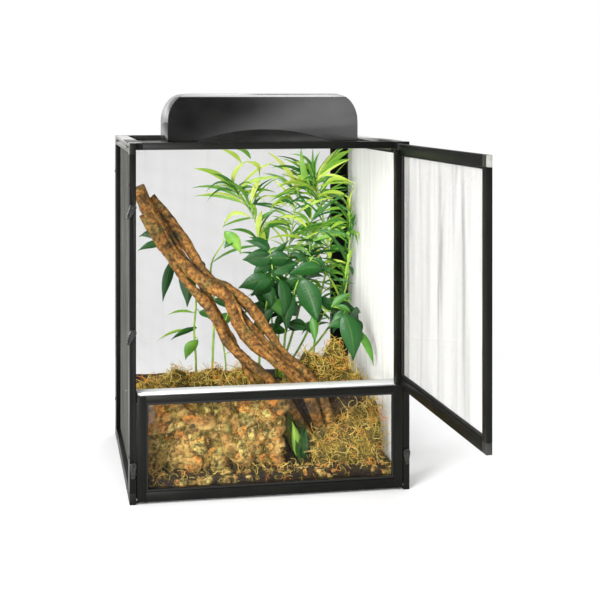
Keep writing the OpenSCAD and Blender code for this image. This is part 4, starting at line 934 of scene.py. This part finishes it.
climber_leaves = [
    (-148, -20, 354, -178, 357, 13, 0.2), (-140, -20, 346, -180, 336, 12, 0.3),
    (-125, -18, 322, -141, 256, 17, 0.15), (-108, -16, 320, -103, 246, 27, 0.2),
    (-84, -10, 318, -78, 296, 13, 0.1), (-43, -8, 362, -17, 326, 20, 0.75),
    (-30, -8, 346, -44, 335, 10, 0.4), (28, -6, 330, -12, 346, 12, 0.2),
    (30, -6, 332, -4, 352, 12, 0.25), (28, -4, 326, -14, 316, 11, 0.2),
    (34, 0, 317, -14, 316, 30, 0.25), (34, 4, 282, -20, 270, 29, 0.3),
    (62, 0, 316, 17, 314, 26, 0.2), (116, 0, 300, 60, 291, 24, 0.35),
    (40, 8, 284, 0, 257, 29, 0.25), (82, 6, 284, 108, 210, 38, 0.3),
    (28, 14, 252, 66, 212, 20, 0.5), (20, 12, 274, 34, 237, 22, 0.2),
    (100, 6, 222, 103, 179, 14, 0.55), (48, 8, 282, 54, 220, 23, 0.2),
    (72, 12, 256, 60, 196, 20, 0.25), (94, 4, 315, 127, 291, 20, 0.35),
    (120, 16, 228, 92, 196, 18, 0.2), (44, 30, 240, 20, 196, 18, 0.3),
    (138, -56, 236, 153, 160, 34, 0.3), (156, -56, 212, 187, 150, 13, 0.6),
    (150, -50, 236, 124, 246, 10, 0.5), (126, -20, 240, 160, 262, 12, 0.5),
    (-86, 38, 228, -130, 224, 5, 0.8), (-82, 38, 204, -124, 186, 10, 0.35),
    (-96, 38, 202, -146, 184, 5, 0.85), (-80, 38, 184, -100, 153, 18, 0.75),
    (-78, 36, 230, -62, 217, 15, 0.45), (-50, 36, 206, -17, 222, 19, 0.5),
    (-36, 38, 180, -11, 143, 15, 0.8), (-12, 38, 162, 18, 128, 7, 0.4),
    (-56, 30, 250, -30, 232, 13, 0.3), (-58, 26, 268, -84, 246, 12, 0.2),
]
shapes, tints, stalks = [], [], []
for x0, y0, z0, x1, z1, width, tint in climber_leaves:
    foot = Vector((x0, y0, z0))
    shapes.append(bent_leaf(broad, foot, (x1, y0 + random.uniform(-5, 3), z1), width,
                            random.uniform(2, 6), random.uniform(-0.45, 0.45)))
    tints.append(tint)
    near = min((beside(path, s / 40) for path in climber_stems for s in range(41)),
               key=lambda point: (point - foot).length)
    middle = near.lerp(foot, 0.5) + Vector((0, 0, 3))
    stalks.append([(*near, 0.9), (*middle, 0.7), (*foot, 0.6)])
for path in climber_stems[3:]:
    for i in range(15):
        foot = beside(path, random.uniform(0.25, 0.95))
        out = Vector((random.uniform(-1, 1), random.uniform(-0.2, 0.5), random.uniform(-0.9, 0.4)))
        tip = foot + out.normalized() * random.uniform(26, 46)
        tip.y = min(max(tip.y, -46), 58)
        shapes.append(bent_leaf(broad, foot, tip, random.uniform(12, 24),
                                random.uniform(2, 7), random.uniform(-0.7, 0.7),
                                random.uniform(-0.4, 0.4)))
        tints.append(random.uniform(0.0, 0.4))
leafage = many(broad, shapes, tints, "climber_leaves")
leafage.data.materials.append(broad_leaf)
stalkage = rods(climber_stems + stalks, "climber_stems", corners=1, steps=5)
stalkage.data.materials.append(stem_green)
hand_over(merged([leafage, stalkage]), "broad_leaved_climber", "frame", "broad_leaf", None,
          "broadleaf_plant")

# %% [markdown]
# ## Low plant in the lower chamber
# Between bark and moss a few broad blades stand up from the soil behind the pane.

# %% Grow the low plant
random.seed(31)
shapes, tints = [], []
for turn, high, far, width, tint in ((0.2, 58, 4, 20, 0.1), (1.4, 46, 12, 17, 0.2),
                                     (2.9, 58, 14, 17, 0.85), (4.1, 40, 12, 15, 0.3),
                                     (5.2, 50, 10, 18, 0.05), (3.6, 34, 13, 13, 0.2)):
    foot = (58 + 3 * math.cos(turn), -123 + 3 * math.sin(turn), 30)
    tip = (58 + far * math.cos(turn), -123 + far * 1.6 * math.sin(turn), 28 + high)
    shapes.append(bent_leaf(broad, foot, tip, width, 2, turn + 0.4))
    tints.append(tint)
low_stem = [[(58, -123, 26, 3.0), (58, -123, 34, 2.4), (58.5, -123, 42, 1.2)]]
low_plant = merged([many(broad, shapes, tints, "low_leaves"),
                    rods(low_stem, "low_stem", corners=2)])
hand_over(low_plant, "low_leafy_plant", "frame", "broad_leaf", broad_leaf, "low_plant")

# %% [markdown]
# ## Moss and bark
# A bank of dried moss is a soft mound under a tangle of curly threads. The mounds come from
# the CAD lumps, melted together by a voxel Remesh, raised to the uneven line of the real
# banks, and roughened with a Displace. The threads are then strewn over them in thousands.

# %% Melt and roughen a CAD mound
def melted(node, voxel, coarse, strength, fine, fine_strength):
    """A copy of a node's mesh, remeshed in voxels of so many mm and displaced twice."""
    piece = opened_copy(node)
    bpy.ops.object.mode_set(mode="OBJECT")
    modify(piece, "REMESH", mode="VOXEL", voxel_size=voxel * MM)
    for size, force in ((coarse, strength), (fine, fine_strength)):
        cloud = bpy.data.textures.new(f"cloud_{node}_{size}", "CLOUDS")
        cloud.noise_scale, cloud.noise_depth = size * MM, 2
        modify(piece, "DISPLACE", texture=cloud, strength=force * MM, mid_level=0.75,
               texture_coords="LOCAL")
    only(piece)
    bpy.ops.object.shade_smooth()
    return piece

# %% Strew threads over a surface
def curl(radius, thick, turns):
    """One moss thread: a rod that curls round, in mm, with its foot at the origin."""
    row = []
    for i in range(7):
        angle = turns * i
        row.append((radius * math.sin(angle), radius * (1 - math.cos(angle)), radius * 0.3 * i,
                    thick * (1 - 0.07 * i)))
    return rods([row], "curl", corners=0, steps=1)


def strewn(base, templates, count, keep, seed, size=(0.7, 1.5), tint=(0, 1)):
    """Small copies on a mesh's outer faces; keep(place, normal) says where they may be, in mm."""
    rng = np.random.default_rng(seed)
    mesh = base.data
    areas = np.zeros(len(mesh.polygons))
    mesh.polygons.foreach_get("area", areas)
    picks = rng.choice(len(areas), size=count * 3, p=areas / areas.sum())
    made = {id(template): ([], []) for template in templates}
    left = count
    for pick in picks:
        face = mesh.polygons[int(pick)]
        if left == 0 or not keep(face.center / MM, face.normal):
            continue
        left -= 1
        template = templates[int(rng.integers(len(templates)))]
        lean = Vector(rng.normal(0, 0.8, 3)) + face.normal
        turn = (lean.normalized().to_track_quat("Z", "Y").to_matrix().to_4x4()
                @ Matrix.Rotation(float(rng.uniform(0, 6.28)), 4, "Z"))
        place = (Matrix.Translation(face.center - face.normal * MM) @ turn
                 @ Matrix.Diagonal((float(rng.uniform(*size)),) * 3 + (1,)))
        flat = np.array([vertex.co for vertex in template.data.vertices])
        spin = np.array(place)
        shapes, tints = made[id(template)]
        shapes.append(flat @ spin[:3, :3].T + spin[:3, 3])
        tints.append(rng.uniform(*tint))
    return merged([many(template, *made[id(template)], "threads") for template in templates
                   if made[id(template)][0]])


threads = [curl(4.2, 0.42, 0.62), curl(2.8, 0.38, 1.05), curl(6.5, 0.44, 0.38)]
print("thread faces:", [len(thread.data.polygons) for thread in threads])

# %% Moss banks
contour = [(-184, 132), (-161, 146), (-137, 150), (-122, 163), (-98, 167), (-75, 169),
           (-63, 158), (-45, 152), (-29, 161), (-12, 160), (8, 140), (40, 137), (66, 150),
           (80, 176), (99, 184), (134, 182), (149, 167), (159, 148), (168, 134), (184, 122)]
front_contour = [(70, 76), (95, 86), (115, 96), (132, 116), (150, 130), (164, 128), (176, 112),
                 (184, 84)]
mounds = melted("moss", 4.2, 34, 6, 9, 4)
for vertex in mounds.data.vertices:
    x, y, z = vertex.co / MM
    bed, top, line = (105, 181, contour) if y > -75 else (28, 132, front_contour)
    wanted = float(np.interp(x, *zip(*line)))
    if z > bed:
        vertex.co.z = (bed + (z - bed) * (wanted - bed) / (top - bed)) * MM
tangle = strewn(mounds, threads, 3400, lambda place, normal: normal.z > -0.25 and place.z > 30,
                51)
hand_over(tangle, "moss_threads", "frame", "dried_moss", moss_thread, "moss")
# The mounds under the threads carry the painted shade of the dark underlay.
hand_over(mounds, "moss_mounds", "frame", "dried_moss", moss_bed_painted_shade, "moss")

# %% [markdown]
# The bark pack is a jumble of broken cork, grown over with lichen. A Displace alone would leave
# it a box. So rough lumps and chips, each an icosphere pressed flat and displaced, are laid over
# the mass, and fallen bits cover the soil near the pane. They repeat by hundreds, so a lump has
# 80 faces and a chip 20.

# %% Model the lumps and chips
def lump(size, detail, rough, seed):
    """A flat, broken lump of cork, size mm in radius."""
    bpy.ops.mesh.primitive_ico_sphere_add(subdivisions=detail, radius=size * MM)
    piece = bpy.context.object
    bpy.ops.object.transform_apply(location=True)
    break_up = bpy.data.textures.new(f"break_{seed}", "VORONOI")
    break_up.noise_scale = size * 0.8 * MM
    piece.location = (seed * 0.05, 0, 0)
    bpy.ops.object.transform_apply(location=True)
    modify(piece, "DISPLACE", texture=break_up, strength=rough * MM, mid_level=0.4,
           texture_coords="LOCAL")
    piece.location = (-seed * 0.05, 0, 0)
    piece.scale = (1, 0.8, 0.5)
    bpy.ops.object.transform_apply(location=True, scale=False)
    bpy.ops.object.transform_apply(scale=True)
    return piece


lumps = [lump(11, 2, 6, seed) for seed in (1, 2, 3)]
chips = [lump(4, 1, 2.4, seed) for seed in (4, 5)]
print("lump and chip faces:", [len(piece.data.polygons) for piece in lumps + chips])

# %% Cork bark and soil
bark = melted("cork_bark", 3.4, 22, 16, 7, 5)


def to_front(place, normal):
    """The faces of the bark that look to the pane, or aside."""
    return normal.y < 0.2


def at_pane(place, normal):
    """The top and front of the soil near the pane, above the floor sheet."""
    return place.y < -140 and 16 < place.z < 60 and normal.z > -0.4


def at_bark(place, normal):
    """The part of that in front of the bark."""
    return at_pane(place, normal) and place.x < -10


broken = merged([strewn(bark, lumps, 190, to_front, 61, (0.6, 1.6)),
                 strewn(bark, chips, 320, to_front, 62, (0.5, 1.6))])
hand_over(broken, "cork_bark_pieces", "frame", "cork_bark", bark_finish, "cork_bark")
litter = strewn(bark, threads, 520, lambda place, normal: normal.y < 0.3, 52, (0.5, 1.1))
hand_over(litter, "bark_litter", "frame", "dried_moss", moss_thread, "cork_bark")
# The bark mass between the lumps takes the same dark underlay: painted shade in the gaps, with the
# moss's own colour.
hand_over(bark, "cork_bark_mass", "frame", "cork_bark", moss_bed_painted_shade, "cork_bark")
soil = melted("soil", 6, 24, 2, 7, 2)
fallen = merged([strewn(soil, chips, 900, at_pane, 63, (0.4, 1.5)),
                 strewn(soil, lumps, 110, at_pane, 64, (0.3, 0.75)),
                 strewn(soil, lumps, 90, at_bark, 66, (0.7, 1.2))])
hand_over(fallen, "fallen_bark", "frame", "cork_bark", bark_finish, "soil")
hand_over(strewn(soil, threads, 2200, at_pane, 65, (0.6, 1.3)), "fallen_moss", "frame",
          "dried_moss", moss_thread, "soil")
hand_over(soil, "soil_bed", "frame", "soil_fibre", soil_finish, "soil")
for template in (ribbon, broad, *threads, *lumps, *chips):
    bpy.data.objects.remove(template)

# %% [markdown]
# ## Floor and light
# A pale studio. The floor is real, so it keeps the cage's shadow, and away from the cage it
# turns to plain white for the camera. The camera sees a white world. For the light itself the
# world is bright above and behind and dim in front, as in a studio whose lamps stand behind
# the camera's sides: black then stays dark on the faces that look to the front, and goes pale
# where a face is seen at a low angle. One soft pale wall stands in front to the right, so the
# hood's front grades from dark at its left to grey at its right.

# %% Floor
bpy.ops.mesh.primitive_plane_add(size=30, location=(0, 0, 0))
floor = bpy.context.object
floor.name = "studio_floor"
paper, tree, shader, place = new_finish("studio_paper", Roughness=0.9, Specular_IOR_Level=0.0)
shader.inputs["Base Color"].default_value = linear("#f7f7f7")
away = add(tree, "VectorMath", {0: place}, operation="LENGTH").outputs["Value"]
far = ranged(tree, away, 0.4, 1.1)
bright = add(tree, "Emission", {"Color": (1, 1, 1, 1), "Strength": 1.0})
view_only = add(tree, "LightPath").outputs["Is Camera Ray"]
share = maths(tree, "MULTIPLY", far, view_only)
faded = add(tree, "MixShader", {0: share, 1: shader.outputs[0], 2: bright.outputs[0]})
tree.links.new(faded.outputs[0], tree.nodes["Material Output"].inputs["Surface"])
floor.data.materials.append(paper)

# %% World
world = bpy.data.worlds.new("studio")
bpy.context.scene.world = world
world.use_nodes = True
sky = world.node_tree
for old in list(sky.nodes):
    sky.nodes.remove(old)
path = add(sky, "LightPath")
seen = maths(sky, "MAXIMUM", path.outputs["Is Camera Ray"], path.outputs["Is Transmission Ray"])
toward = add(sky, "SeparateXYZ", {"Vector": add(sky, "TexCoord").outputs["Generated"]})
x, y, z = (toward.outputs[axis] for axis in "XYZ")

above = ranged(sky, z, 0.0, 0.7, 0.0, 0.55)
edge = add(sky, "ValToRGB", {"Fac": z}, [(0.0, "#c4c4c4"), (0.03, "#ffffff"), (0.07, "#ffffff"),
                                         (0.1, "#a0a0a0"), (0.4, "#a0a0a0"), (0.6, "#e8e8e8")])
behind = maths(sky, "MULTIPLY", ranged(sky, y, -0.3, 0.6, 0.09, 1.3), edge.outputs["Color"])

wall = maths(sky, "MULTIPLY", ranged(sky, x, 0.11, 0.25, 0.0, 3.8),
             ranged(sky, x, 0.34, 0.55, 1.0, 0.0))
wall = maths(sky, "MULTIPLY", wall, ranged(sky, maths(sky, "ABSOLUTE", z), 0.1, 0.3, 1.0, 0.0))
wall = maths(sky, "MULTIPLY", wall, ranged(sky, y, -0.8, -0.5, 1.0, 0.0))

level = maths(sky, "MAXIMUM", maths(sky, "MAXIMUM", above, behind), wall)
glow = add(sky, "Background", {"Color": (1, 1, 1, 1), "Strength": level})
white = add(sky, "Background", {"Color": (1, 1, 1, 1), "Strength": 1.0})
blend = add(sky, "MixShader", {0: seen, 1: glow.outputs[0], 2: white.outputs[0]})
add(sky, "OutputWorld", {"Surface": blend.outputs[0]})


# %% Lamps
def softbox(name, place, aim, size, watts):
    """A square studio lamp at place, turned to aim."""
    bpy.ops.object.light_add(type="AREA", location=place)
    lamp = bpy.context.object
    lamp.name = name
    lamp.data.size = size
    lamp.data.energy = watts
    lamp.rotation_euler = (Vector(aim) - Vector(place)).to_track_quat("-Z", "Y").to_euler()
    return lamp


softbox("key_softbox", (-1.7, -2.3, 1.7), (0, 0, 0.25), 1.1, 82)
softbox("fill_softbox", (-1.2, -2.3, 0.4), (0.05, -0.05, 0.2), 0.9, 52)
softbox("roof_softbox", (0, 0.1, 2.6), (0, 0, 0), 1.4, 26)
softbox("rim_softbox", (0.4, 1.2, 2.7), (0, -0.1, 0.5), 0.7, 10)
bpy.context.scene.view_settings.view_transform = "Standard"
